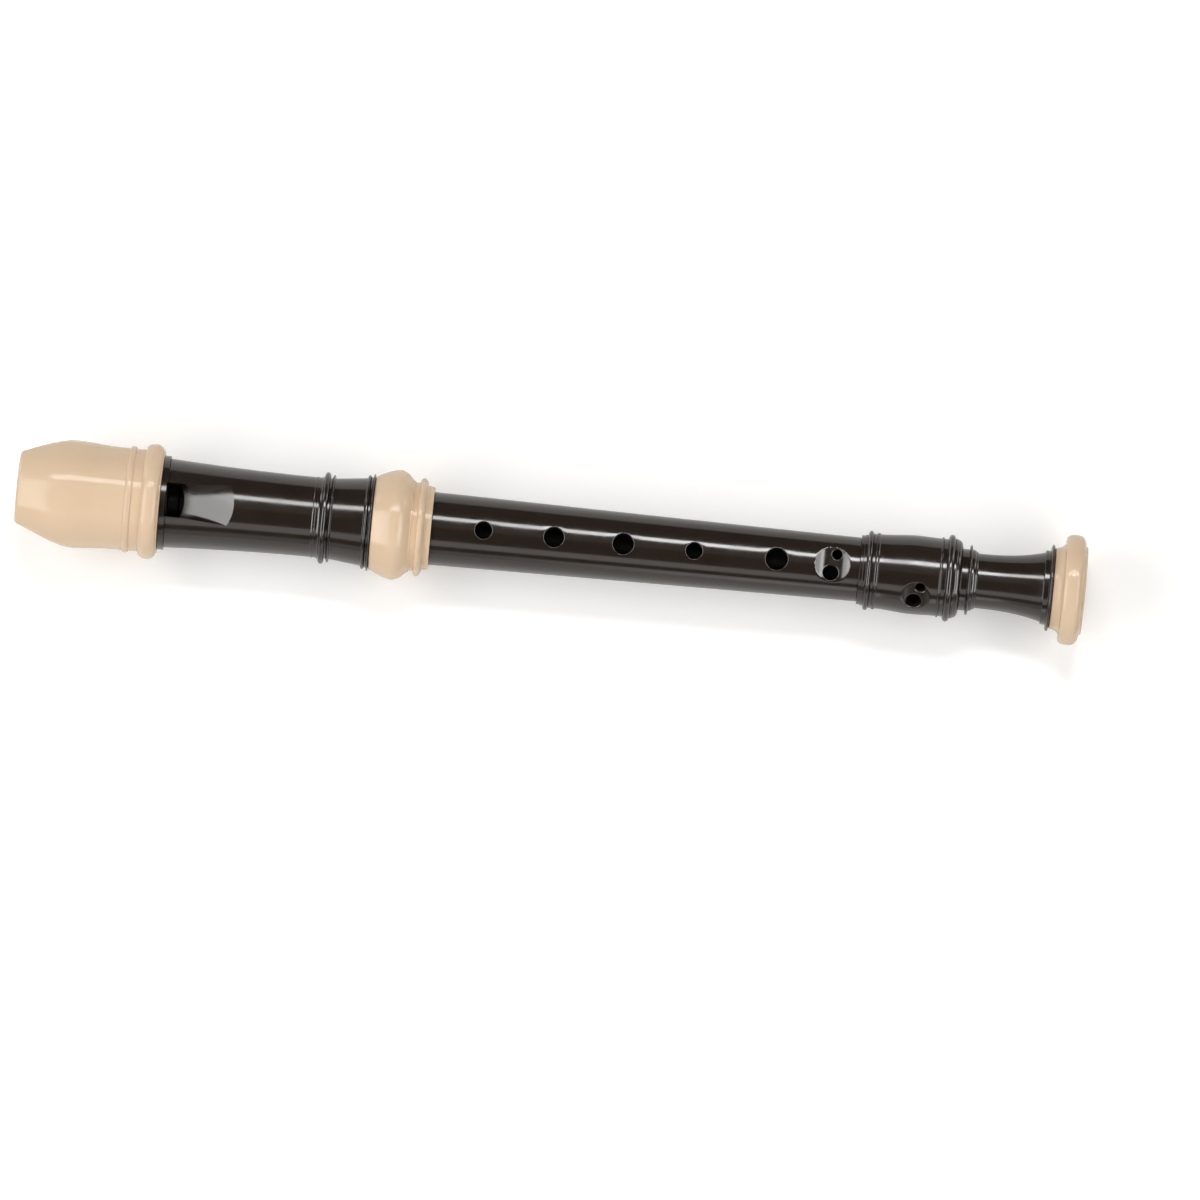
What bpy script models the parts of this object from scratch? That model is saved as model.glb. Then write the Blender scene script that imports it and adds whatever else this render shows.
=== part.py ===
"""Sopranino recorder in three joints: head, middle joint and foot, each turned
about one axis, with ivory-coloured rings and mouthpiece cap over dark mouldings.

Axis along X, mouthpiece towards -X, finger holes up (+Z), lying on its rings
at z = 0. Lengths are in metres. Distances "along" are measured from the tip of
the mouthpiece; every radius is that of the round piece, which the flats touch.
"""

import math

import bmesh
import bpy
import numpy as np
from mathutils import Matrix

# Fits
SEAT_GAP = 0.00025      # between faces that seat on each other
FIT = 0.0002            # around a piece inside another
SEGMENTS = 28           # flats round a turned piece, a multiple of 4

# Mouthpiece cap
CAP_LENGTH = 0.0334
TIP_RADIUS = 0.0099
TIP_ROUNDING = 0.0007
CAP_RADIUS = 0.01258
CAP_SWELL = 0.0127      # tip to the widest place
CAP_TAPER = 1.62        # 1 is straight
CAP_WAIST_RADIUS = 0.01195
CAP_NECK = 0.0016       # level stretch above the ring
CAP_RING = (0.0016, 0.00055)        # width and height
CAP_BEAD = (0.0042, 0.0015)
CAP_RING_TO_BEAD = 0.0021
CAP_RIM = 0.0002
BEAK_HOLLOW_RADIUS = 0.0291         # hollow of the lip side
BEAK_HOLLOW_LENGTH = 0.023
BEAK_THICKNESS = 0.0094             # at the tip
BEAK_ARCH = 0.0094                  # radius across the lip side at the tip
BEAK_ARCH_FADE = 1.5                # power of its fading towards the end
CAP_WALL = 0.0012
CAP_BORE = 0.0074

# Windway sleeve and block
COLLAR_RADIUS = 0.011
COLLAR_WIDTH = 0.00125
SPIGOT_LENGTH = 0.0024
HEAD_BORE = 0.0052
WINDWAY_ENTRY = (0.0095, 0.00105)   # width and height
WINDWAY_EXIT = (0.008, 0.00085)
BLOCK_CHAMFER = 0.0003

# Window
WINDOW_LENGTH = 0.0042              # collar to lip
WINDOW_RELIEF = 0.0001              # cut into the collar's face
RAMP_LENGTH = 0.0118
RAMP_END_WIDTH = 0.0097
RAMP_RUN_OUT = 0.00035              # height over the barrel at its end
LIP_THICKNESS = 0.00035
LIP_BULGE = 0.00115                 # towards the foot, at the middle
LIP_LEAN = 0.0001                   # of the lip's face, out from its inner edge
LIP_ARCH = 0.0064                   # radius across the ramp at the lip
RAMP_ARCH = 0.018                   # radius across the ramp at its end

# Head barrel
BARREL_LENGTH = 0.04785
BARREL_TOP_RADIUS = 0.0104
BARREL_WAIST_RADIUS = 0.00937
BARREL_TAPER = 1.9                  # 1 is straight
BARREL_MOULDING = 0.0138            # length of the mouldings at the lower end
BARREL_LINE = (0.0007, 0.00013)
BARREL_LINE_GAP = 0.00015
BARREL_COVE = (0.0011, 0.0007)
BARREL_BEAD = (0.00135, 0.0007)
BARREL_NECK = (0.0005, 0.0001)
BARREL_FILLET = (0.0007, 0.00085)
BARREL_RING = (0.00095, 0.00075)
BARREL_LAST_GAP = 0.0004
BARREL_LAST_RING = (0.00055, 0.00087)
BARREL_FLARE_RADIUS = 0.0103
BARREL_FLARE = 1.1                  # 1 is straight
BARREL_END_RADIUS = 0.0106

# Socket ring
RING_LENGTH = 0.01365
RING_TOP_RADIUS = 0.0109
RING_RADIUS = 0.0129
RING_RISE = 0.0053
RING_SWELL = 1.55                   # power of the rise, 1 is straight
RING_FALL = 0.0035
RING_FALL_POWER = 2.0
RING_SHOULDER_RADIUS = 0.0107
RING_SHOULDER = 0.0003
RING_GROOVE = (0.00115, 0.00032)
RING_BEAD_RISE = 0.0007             # groove to the top of the bead
RING_BEAD_RADIUS = 0.01152
RING_BEAD_FALL = 0.0012
RING_STEP = (0.0006, 0.0098)        # width and radius
RING_END_RADIUS = 0.00955
RING_BORE = 0.0087

# Middle joint
MIDDLE_LENGTH = 0.0999
MIDDLE_TOP_RADIUS = 0.00855
MIDDLE_END_RADIUS = 0.0075
MIDDLE_TAPER = 1.15                 # 1 is straight
MIDDLE_BORE_TOP = 0.0049
MIDDLE_BORE_END = 0.00375
TENON_RADIUS = 0.0074
TENON_LENGTH = 0.0151
FOOT_TENON_RADIUS = 0.0063
FOOT_TENON_LENGTH = 0.009
TENON_CHAMFER = 0.0003
GREASE_GROOVE = (0.0009, 0.0003)
GREASE_GROOVE_PITCH = 0.0022
GREASE_GROOVES = 2                  # round each tenon

# Finger holes: distance below the shoulder of the middle joint, and diameter
FINGER_HOLES = ((0.01205, 0.00395), (0.02855, 0.0046), (0.04475, 0.0048),
                (0.06135, 0.0038), (0.08065, 0.0051))
THUMB_HOLE = (0.0064, 0.0043)
SIXTH_HOLE = 0.00615                # above the lower end of the middle joint
SIXTH_SCOOP = 0.0082                # across the scooped seat
SEVENTH_HOLE = 0.0135               # below the upper end of the foot
SEVENTH_TURN = math.radians(38.5)   # round towards the right hand
SEVENTH_SCOOP = 0.0072
# Twin holes: along, across (towards the left hand), and diameter
SIXTH_TWINS = ((-0.0003, -0.0019, 0.0035), (0.00086, 0.00245, 0.0023))
SEVENTH_TWINS = ((-0.0004, -0.0016, 0.0036), (0.0009, 0.0022, 0.0024))

# Foot joint
FOOT_LENGTH = 0.0451
FOOT_STEPS = ((0.0007, 0.0081), (0.0007, 0.0083))   # width and radius
FOOT_BEAD = (0.0013, 0.00095)
FOOT_BEAD_BASE = 0.0084
FOOT_BAND = 0.0007                  # between the bead and the ring
FOOT_BAND_RADIUS = 0.0087
FOOT_RING = (0.0009, 0.0003)
BARREL_SWELL_RADIUS = 0.00923
BARREL_SWELL = 0.0084               # ring to the widest place
BARREL_FALL = 0.00585
BARREL_LOW_RADIUS = 0.0091
FOOT_LOW_RING = (0.0006, 0.00034)
FOOT_LOW_GAP = 0.00095
FOOT_BIG_BEAD = (0.0017, 0.0011)
# Rounds below the big bead and below the neck ring: length, and radius at the end
FOOT_ROUND_RADIUS = 0.00935
FOOT_ROUNDS = ((0.00075, 0.0091), (0.00115, 0.00735))
NECK_RADIUS = 0.0072
NECK_LENGTH = 0.0015
NECK_RING = (0.0008, 0.00105)
STEM_ROUNDS = ((0.0009, 0.00675), (0.00055, 0.0064))
STEM_FLARE = 2.6                    # power of the flare, 1 is straight
BELL_STEP = (0.0012, 0.00867)       # width and radius
BELL_RING_LINE = (0.0009, 0.001)
BELL_BASE_RADIUS = 0.0092
FLARE_END_RADIUS = 0.00815
BELL_SPIGOT_RADIUS = 0.007
FOOT_BORE_THROAT = 0.0035
FOOT_BORE_THROAT_AT = 0.018         # below the socket
FOOT_BORE_END = 0.0044
FOOT_BORE_FLARE = 0.007
FOOT_BORE_POWER = 2.0

# Bell ring
BELL_LENGTH = 0.00735
BELL_TOP_RADIUS = 0.0095
BELL_COVE = 0.0022
BELL_COVE_RADIUS = 0.0112
BELL_SHOULDER_RADIUS = 0.01195
BELL_RADIUS = 0.0129
BELL_RISE = 0.0019
BELL_BAND = 0.0009
BELL_FALL = 0.00195
BELL_FACE_RADIUS = 0.0102
BELL_LOW_RADIUS = 0.0104

# Colours as displayed, 0 to 1
IVORY = (0.86, 0.76, 0.63)
DARK_BROWN = (0.15, 0.11, 0.095)

# Places along the axis, from one piece to the next
COLLAR_START = CAP_LENGTH + SEAT_GAP
COLLAR_END = COLLAR_START + COLLAR_WIDTH
BARREL_START = COLLAR_END + SEAT_GAP
BARREL_END = BARREL_START + BARREL_LENGTH
RING_START = BARREL_END + SEAT_GAP
RING_END = RING_START + RING_LENGTH
MIDDLE_START = RING_END + SEAT_GAP
MIDDLE_END = MIDDLE_START + MIDDLE_LENGTH
FOOT_START = MIDDLE_END + SEAT_GAP
FOOT_END = FOOT_START + FOOT_LENGTH
BELL_START = FOOT_END + SEAT_GAP
TOTAL_LENGTH = BELL_START + BELL_LENGTH
AXIS_HEIGHT = CAP_WAIST_RADIUS + CAP_BEAD[1]
LIP = COLLAR_END + WINDOW_LENGTH
SLEEVE_RADIUS = CAP_BORE - FIT
BLOCK_RADIUS = HEAD_BORE - FIT
RING_SEAT_RADIUS = RING_BORE - FIT
FOOT_SOCKET_END = MIDDLE_END + FOOT_TENON_LENGTH + SEAT_GAP
OUTSIDE = 0.002         # how far cutters run past what they cut
WINDOW_FLOOR = HEAD_BORE / 5        # bottom of the window's cutter


class Turning:
    """A turner's path in the plane of the axis: moves along and out."""

    def __init__(self, along, radius):
        self.points = [(along, radius)]

    def to(self, along, radius):
        self.points.append((along, radius))
        return self

    def step(self, radius):
        return self.to(self.points[-1][0], radius)

    def line(self, length, radius):
        return self.to(self.points[-1][0] + length, radius)

    def curve(self, length, radius, power, steps, late=False):
        """A taper that bends near its start, or near its end when late."""
        along, first = self.points[-1]
        for t in np.linspace(0.0, 1.0, steps + 1)[1:]:
            share = t ** power if late else 1.0 - (1.0 - t) ** power
            self.to(along + length * t, first + (radius - first) * share)
        return self

    def ease(self, length, radius, steps):
        """A soft change of radius, level at both ends."""
        along, first = self.points[-1]
        for t in np.linspace(0.0, 1.0, steps + 1)[1:]:
            share = 0.5 - 0.5 * math.cos(math.pi * t)
            self.to(along + length * t, first + (radius - first) * share)
        return self

    def quarter(self, length, radius, steps, level_first=True):
        """A quarter round that starts level with the axis, or ends level."""
        along, first = self.points[-1]
        for angle in np.linspace(0.0, math.pi / 2, steps + 1)[1:]:
            a, b = math.sin(angle), 1.0 - math.cos(angle)
            run, rise = (a, b) if level_first else (b, a)
            self.to(along + length * run, first + (radius - first) * rise)
        return self

    def bead(self, size, steps=6):
        """A half round of a width and a height that comes back to its base."""
        width, height = size
        along, base = self.points[-1]
        for angle in np.linspace(0.0, math.pi, steps + 1)[1:]:
            run = 0.5 * width * (1.0 - math.cos(angle))
            self.to(along + run, base + height * math.sin(angle))
        return self

    def groove(self, size):
        width, depth = size
        base = self.points[-1][1]
        return self.step(base - depth).line(width, base - depth).step(base)


def place(name, mesh, parent):
    """An object for the mesh, hung on the axis with its origin on it."""
    made = bpy.data.objects.new(name, mesh)
    bpy.context.scene.collection.objects.link(made)
    made.parent = parent
    return made


def mesh_from(bm, name):
    """The closed mesh, its doubled points merged and its faces outwards."""
    bmesh.ops.remove_doubles(bm, verts=bm.verts, dist=1e-7)
    bmesh.ops.recalc_face_normals(bm, faces=bm.faces)
    mesh = bpy.data.meshes.new(name)
    bm.to_mesh(mesh)
    bm.free()
    mesh.shade_smooth()
    mesh.set_sharp_from_angle(angle=math.radians(35))
    return mesh


def turned(name, path, parent):
    """The path's closed outline spun round the axis, a flat facing down."""
    bm = bmesh.new()
    half = math.pi / SEGMENTS
    points = [(along, radius * math.tan(half), radius) for along, radius in path.points]
    verts = [bm.verts.new(point) for point in points]
    edges = [bm.edges.new((a, b)) for a, b in zip(verts, verts[1:] + verts[:1])]
    bmesh.ops.spin(bm, geom=verts + edges, cent=(0, 0, 0), axis=(1, 0, 0),
                   angle=2 * math.pi, steps=SEGMENTS, use_merge=True)
    return place(name, mesh_from(bm, name), parent)


def lofted(name, loops, parent):
    """A closed body through loops of points, capped at both ends."""
    bm = bmesh.new()
    rows = [[bm.verts.new(point) for point in loop] for loop in loops]
    for row, following in zip(rows, rows[1:]):
        for i in range(len(row)):
            j = (i + 1) % len(row)
            bm.faces.new((row[i], row[j], following[j], following[i]))
    bm.faces.new(rows[0])
    bm.faces.new(rows[-1])
    return place(name, mesh_from(bm, name), parent)


def drill(name, along, across, diameter, reach, turn, parent, sides=16):
    """A round cutter from the axis outwards, turned about the axis."""
    bm = bmesh.new()
    matrix = Matrix.Translation((along, 0, 0)) @ Matrix.Rotation(turn, 4, "X")
    matrix = matrix @ Matrix.Translation((0, across, reach / 2))
    bmesh.ops.create_cone(bm, cap_ends=True, segments=sides, radius1=diameter / 2,
                          radius2=diameter / 2, depth=reach, matrix=matrix)
    return place(name, mesh_from(bm, name), parent)


def cut(body, cutter):
    """Takes the cutter's shape out of the body."""
    cutter.hide_render = True
    cutter.display_type = "WIRE"
    modifier = body.modifiers.new(cutter.name, "BOOLEAN")
    modifier.operation = "DIFFERENCE"
    modifier.solver = "EXACT"
    modifier.object = cutter


def plastic(name, displayed, roughness):
    """A plain moulded plastic; the colour is given as displayed."""
    made = bpy.data.materials.new(name)
    made.use_nodes = True
    shader = made.node_tree.nodes["Principled BSDF"]
    linear = [((c + 0.055) / 1.055) ** 2.4 for c in displayed]
    shader.inputs["Base Color"].default_value = (*linear, 1.0)
    shader.inputs["Roughness"].default_value = roughness
    shader.inputs["Metallic"].default_value = 0.0
    return made


def hollow(name, depth, parent):
    """Cutter for the lip side of the mouthpiece, a given depth outside its skin.

    Its roof is a circle along the beak, raised towards the sides by the square
    of the distance from the middle; the raise fades to nothing at its end."""
    lip = TIP_RADIUS - BEAK_THICKNESS
    rim = -CAP_RADIUS
    chord = math.hypot(BEAK_HOLLOW_LENGTH, rim - lip)
    sag = math.sqrt(BEAK_HOLLOW_RADIUS ** 2 - (chord / 2) ** 2)
    middle = (BEAK_HOLLOW_LENGTH / 2, (lip + rim) / 2)
    centre = (middle[0] + sag * (rim - lip) / chord, middle[1] - sag * BEAK_HOLLOW_LENGTH / chord)
    radius = BEAK_HOLLOW_RADIUS + depth
    low = rim - OUTSIDE
    left = math.asin((centre[0] + OUTSIDE) / radius)
    right = math.acos((low - centre[1]) / radius)
    side = CAP_RADIUS + OUTSIDE
    loops = []
    for across in side * np.linspace(-1.0, 1.0, 9):
        loop = []
        for angle in np.linspace(-left, right, 10):
            along = centre[0] + radius * math.sin(angle)
            left_of_end = min(max(1.0 - along / BEAK_HOLLOW_LENGTH, 0.0), 1.0)
            arch = left_of_end ** BEAK_ARCH_FADE / (2 * BEAK_ARCH)
            height = centre[1] + radius * math.cos(angle) + arch * across ** 2
            loop.append((along, across, height))
        loop += [(loop[end][0], across, low - OUTSIDE) for end in (-1, 0)]
        loops.append(loop)
    return lofted(name, loops, parent)


def windway(parent):
    """Cutter for the arched slit over the block, from the tip to the window."""
    loops = []
    floor = HEAD_BORE - OUTSIDE
    for along, (width, height) in ((0.0, WINDWAY_ENTRY), (COLLAR_END, WINDWAY_EXIT)):
        past = -OUTSIDE if along == 0.0 else OUTSIDE
        roof = BLOCK_RADIUS + height
        reach = math.asin(width / 2 / roof)
        angles = np.linspace(-reach, reach, 11)
        loop = [(along + past, roof * math.sin(a), roof * math.cos(a)) for a in angles]
        loop += [(along + past, floor * math.sin(a), floor * math.cos(a)) for a in angles[::-1]]
        loops.append(loop)
    return lofted("windway_cutter", loops, parent)


def window(parent):
    """Cutter for the window and the arched ramp that rises from its lip."""
    columns = np.linspace(-1.0, 1.0, 11)
    half = WINDWAY_EXIT[0] / 2
    top = BARREL_TOP_RADIUS + OUTSIDE
    lip_height = HEAD_BORE + LIP_THICKNESS
    rise = (BARREL_WAIST_RADIUS + RAMP_RUN_OUT - lip_height) / RAMP_LENGTH

    def ramp(along, across):
        t = (along - LIP) / RAMP_LENGTH
        bend = 1.0 / LIP_ARCH + (1.0 / RAMP_ARCH - 1.0 / LIP_ARCH) * min(max(t, 0.0), 1.0)
        return lip_height + rise * (along - LIP) - 0.5 * bend * across ** 2

    def loop(row):
        return row + [(x, y, top) for x, y, _ in reversed(row)]

    lip = [LIP - LIP_BULGE * c * c for c in columns]
    rows = [[(COLLAR_END - WINDOW_RELIEF, half * c, WINDOW_FLOOR) for c in columns]]
    rows.append([(x - LIP_LEAN, half * c, WINDOW_FLOOR) for x, c in zip(lip, columns)])
    rows.append([(x, half * c, ramp(x, half * c)) for x, c in zip(lip, columns)])
    end = LIP + RAMP_LENGTH + OUTSIDE
    for t in np.linspace(0.0, 1.0, 6)[1:]:
        row = []
        for start, c in zip(lip, columns):
            along = start + (end - start) * t
            spread = max(along - LIP, 0.0) / RAMP_LENGTH
            across = c * (half + (RAMP_END_WIDTH / 2 - half) * spread)
            row.append((along, across, ramp(along, across)))
        rows.append(row)
    return lofted("window_cutter", [loop(row) for row in rows], parent)


def scoop(name, along, turn, outer, width, parent):
    """Cutter for a finger seat: a crosswise cylinder that leaves a round outline."""
    depth = outer - math.sqrt(outer ** 2 - (width / 2) ** 2)
    bm = bmesh.new()
    matrix = Matrix.Translation((along, 0, 0)) @ Matrix.Rotation(turn, 4, "X")
    matrix = matrix @ Matrix.Translation((0, 0, 2 * outer - depth))
    matrix = matrix @ Matrix.Rotation(math.pi / 2, 4, "X")
    bmesh.ops.create_cone(bm, cap_ends=True, segments=60, radius1=outer, radius2=outer,
                          depth=2 * outer, matrix=matrix)
    return place(name, mesh_from(bm, name), parent)


def twin_holes(body, name, along, turn, outer, width, holes, parent):
    """A finger seat and the two small holes drilled through it."""
    cut(body, scoop(name + "_scoop", along, turn, outer, width, parent))
    for number, (shift, across, diameter) in enumerate(holes):
        cutter = drill(f"{name}_{number}", along + shift, across, diameter,
                       outer + OUTSIDE, turn, parent)
        cut(body, cutter)


def cap_path():
    path = Turning(0.0, 0.0).step(TIP_RADIUS - TIP_ROUNDING)
    path.quarter(TIP_ROUNDING, TIP_RADIUS, 3, level_first=False)
    path.curve(CAP_SWELL - TIP_ROUNDING, CAP_RADIUS, CAP_TAPER, 7)
    mouldings = CAP_NECK + CAP_RING[0] + CAP_RING_TO_BEAD + CAP_BEAD[0] + CAP_RIM
    path.ease(CAP_LENGTH - mouldings - CAP_SWELL, CAP_WAIST_RADIUS, 4)
    path.line(CAP_NECK, CAP_WAIST_RADIUS).bead(CAP_RING, 4)
    path.line(CAP_RING_TO_BEAD, CAP_WAIST_RADIUS).bead(CAP_BEAD, 8)
    return path.line(CAP_RIM, CAP_WAIST_RADIUS).step(0.0)


def sleeve_path():
    path = Turning(0.0, SLEEVE_RADIUS).to(COLLAR_START, SLEEVE_RADIUS).step(COLLAR_RADIUS)
    path.line(COLLAR_WIDTH, COLLAR_RADIUS).step(SLEEVE_RADIUS)
    return path.line(SPIGOT_LENGTH, SLEEVE_RADIUS).step(HEAD_BORE).to(0.0, HEAD_BORE)


def barrel_path():
    path = Turning(BARREL_START, BARREL_TOP_RADIUS)
    path.curve(BARREL_LENGTH - BARREL_MOULDING, BARREL_WAIST_RADIUS, BARREL_TAPER, 6)
    path.bead(BARREL_LINE, 2).line(BARREL_LINE_GAP, BARREL_WAIST_RADIUS)
    path.quarter(BARREL_COVE[0], BARREL_WAIST_RADIUS + BARREL_COVE[1], 3)
    neck = BARREL_WAIST_RADIUS + BARREL_NECK[1]
    path.bead(BARREL_BEAD, 6).step(neck).line(BARREL_NECK[0], neck).bead(BARREL_FILLET, 4)
    rest = BARREL_END - BARREL_LAST_RING[0] - BARREL_LAST_GAP - BARREL_RING[0]
    path.curve(rest - path.points[-1][0], BARREL_FLARE_RADIUS, BARREL_FLARE, 3, late=True)
    path.bead(BARREL_RING, 4).step(BARREL_END_RADIUS)
    path.line(BARREL_LAST_GAP, BARREL_END_RADIUS).bead(BARREL_LAST_RING, 4)
    path.step(RING_SEAT_RADIUS).to(RING_END, RING_SEAT_RADIUS).step(TENON_RADIUS + FIT)
    path.to(MIDDLE_START - TENON_LENGTH - SEAT_GAP, TENON_RADIUS + FIT).step(HEAD_BORE)
    seat = COLLAR_END + SPIGOT_LENGTH + SEAT_GAP
    return path.to(seat, HEAD_BORE).step(CAP_BORE).to(BARREL_START, CAP_BORE)


def ring_path():
    path = Turning(RING_START, RING_TOP_RADIUS)
    path.curve(RING_RISE, RING_RADIUS, RING_SWELL, 6)
    path.curve(RING_FALL, RING_SHOULDER_RADIUS, RING_FALL_POWER, 5, late=True)
    path.line(RING_SHOULDER, RING_SHOULDER_RADIUS).step(RING_SHOULDER_RADIUS - RING_GROOVE[1])
    path.line(RING_GROOVE[0], RING_SHOULDER_RADIUS - RING_GROOVE[1])
    path.quarter(RING_BEAD_RISE, RING_BEAD_RADIUS, 3, level_first=False)
    path.quarter(RING_BEAD_FALL, RING_STEP[1], 4).line(*RING_STEP).to(RING_END, RING_END_RADIUS)
    return path.step(RING_BORE).to(RING_START, RING_BORE)


def middle_path():
    path = Turning(MIDDLE_START - TENON_LENGTH, TENON_RADIUS - TENON_CHAMFER)
    path.line(TENON_CHAMFER, TENON_RADIUS)
    for _ in range(GREASE_GROOVES):
        path.line(GREASE_GROOVE_PITCH - GREASE_GROOVE[0], TENON_RADIUS).groove(GREASE_GROOVE)
    path.to(MIDDLE_START, TENON_RADIUS).step(MIDDLE_TOP_RADIUS)
    path.curve(MIDDLE_LENGTH, MIDDLE_END_RADIUS, MIDDLE_TAPER, 6).step(FOOT_TENON_RADIUS)
    for _ in range(GREASE_GROOVES):
        path.line(GREASE_GROOVE_PITCH - GREASE_GROOVE[0], FOOT_TENON_RADIUS).groove(GREASE_GROOVE)
    end = MIDDLE_END + FOOT_TENON_LENGTH
    path.to(end - TENON_CHAMFER, FOOT_TENON_RADIUS).to(end, FOOT_TENON_RADIUS - TENON_CHAMFER)
    return path.step(MIDDLE_BORE_END).to(MIDDLE_START - TENON_LENGTH, MIDDLE_BORE_TOP)


def foot_path():
    path = Turning(FOOT_START, FOOT_STEPS[0][1])
    for width, radius in FOOT_STEPS:
        path.step(radius).line(width, radius)
    path.step(FOOT_BEAD_BASE).bead(FOOT_BEAD, 6).step(FOOT_BAND_RADIUS)
    path.line(FOOT_BAND, FOOT_BAND_RADIUS).bead(FOOT_RING, 4)
    path.ease(BARREL_SWELL, BARREL_SWELL_RADIUS, 4).ease(BARREL_FALL, BARREL_LOW_RADIUS, 3)
    path.bead(FOOT_LOW_RING, 4).line(FOOT_LOW_GAP, BARREL_LOW_RADIUS).bead(FOOT_BIG_BEAD, 6)
    path.step(FOOT_ROUND_RADIUS)
    for length, radius in FOOT_ROUNDS:
        path.quarter(length, radius, 2)
    path.step(NECK_RADIUS).line(NECK_LENGTH, NECK_RADIUS).bead(NECK_RING, 4)
    for length, radius in STEM_ROUNDS:
        path.quarter(length, radius, 2)
    rest = FOOT_END - BELL_RING_LINE[0] - BELL_STEP[0] - path.points[-1][0]
    path.curve(rest, FLARE_END_RADIUS, STEM_FLARE, 6, late=True).step(BELL_STEP[1])
    path.line(BELL_STEP[0], BELL_STEP[1]).step(BELL_BASE_RADIUS).bead(BELL_RING_LINE, 4)
    path.step(BELL_SPIGOT_RADIUS).to(TOTAL_LENGTH, BELL_SPIGOT_RADIUS).step(FOOT_BORE_END)
    path.curve(-FOOT_BORE_FLARE, FOOT_BORE_THROAT, FOOT_BORE_POWER, 3)
    path.to(FOOT_SOCKET_END + FOOT_BORE_THROAT_AT, FOOT_BORE_THROAT)
    path.to(FOOT_SOCKET_END, MIDDLE_BORE_END).step(FOOT_TENON_RADIUS + FIT)
    return path.to(FOOT_START, FOOT_TENON_RADIUS + FIT)


def bell_path():
    path = Turning(BELL_START, BELL_TOP_RADIUS).quarter(BELL_COVE, BELL_COVE_RADIUS, 4)
    path.step(BELL_SHOULDER_RADIUS).quarter(BELL_RISE, BELL_RADIUS, 3, level_first=False)
    path.line(BELL_BAND, BELL_RADIUS).quarter(BELL_FALL, BELL_LOW_RADIUS, 4)
    path.to(TOTAL_LENGTH, BELL_FACE_RADIUS).step(BELL_SPIGOT_RADIUS + FIT)
    return path.to(BELL_START, BELL_SPIGOT_RADIUS + FIT)


def build():
    for item in list(bpy.data.objects):
        bpy.data.objects.remove(item, do_unlink=True)
    axis = place("bore_axis", None, None)
    axis.location = (-TOTAL_LENGTH / 2, 0.0, AXIS_HEIGHT)

    cap = turned("beak_cap", cap_path(), axis)
    chamber = Turning(-OUTSIDE, 0.0).step(CAP_BORE)
    chamber.to(CAP_LENGTH + OUTSIDE, CAP_BORE).step(0.0)
    inside = turned("cap_inside", chamber, axis)
    cut(inside, hollow("cap_wall_cutter", CAP_WALL, axis))
    cut(cap, hollow("beak_hollow_cutter", 0.0, axis))
    cut(cap, inside)

    core = hollow("core_hollow_cutter", CAP_WALL + SEAT_GAP, axis)
    sleeve = turned("windway_sleeve", sleeve_path(), axis)
    block_end = COLLAR_END - BLOCK_CHAMFER
    rod = Turning(0.0, 0.0).step(BLOCK_RADIUS).to(block_end, BLOCK_RADIUS)
    rod.line(BLOCK_CHAMFER, BLOCK_RADIUS - BLOCK_CHAMFER).step(0.0)
    block = turned("block", rod, axis)
    opening = window(axis)
    cut(sleeve, core)
    cut(sleeve, windway(axis))
    cut(sleeve, opening)
    cut(block, core)

    barrel = turned("head_barrel", barrel_path(), axis)
    cut(barrel, opening)
    ring = turned("socket_ring", ring_path(), axis)

    middle = turned("middle_joint", middle_path(), axis)
    reach = MIDDLE_TOP_RADIUS + OUTSIDE
    for number, (below, diameter) in enumerate(FINGER_HOLES):
        cut(middle, drill(f"hole_{number + 1}", MIDDLE_START + below, 0.0, diameter,
                          reach, 0.0, axis))
    below, diameter = THUMB_HOLE
    cut(middle, drill("thumb_hole", MIDDLE_START + below, 0.0, diameter,
                      reach, math.pi, axis))
    fall = (MIDDLE_TOP_RADIUS - MIDDLE_END_RADIUS) * (SIXTH_HOLE / MIDDLE_LENGTH) ** MIDDLE_TAPER
    twin_holes(middle, "hole_6", MIDDLE_END - SIXTH_HOLE, 0.0,
               MIDDLE_END_RADIUS + fall, SIXTH_SCOOP, SIXTH_TWINS, axis)

    foot = turned("foot_joint", foot_path(), axis)
    twin_holes(foot, "hole_7", FOOT_START + SEVENTH_HOLE, SEVENTH_TURN,
               BARREL_SWELL_RADIUS, SEVENTH_SCOOP, SEVENTH_TWINS, axis)
    bell = turned("bell_ring", bell_path(), axis)

    finishes = {"ivory_plastic": (IVORY, 0.35, (cap, ring, bell)),
                "dark_plastic": (DARK_BROWN, 0.25, (sleeve, block, barrel, middle, foot))}
    for name, (colour, roughness, pieces) in finishes.items():
        for piece in pieces:
            piece.data.materials.append(plastic(f"{name}_{piece.name}", colour, roughness))


build()
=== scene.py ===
"""Sopranino recorder: polished brown-black and ivory-coloured mouldings.

Every piece is a surface worked out from the same sizes as the solids that it
stands for. Lengths are in metres. "Along" runs down the bore from the tip of
the mouthpiece, radii are from the bore's axis, and finger holes face up.
"""

import math

import bmesh
import bpy
import numpy as np
from bpy.props import FloatProperty, FloatVectorProperty, PointerProperty
from mathutils import Matrix, Vector


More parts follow.
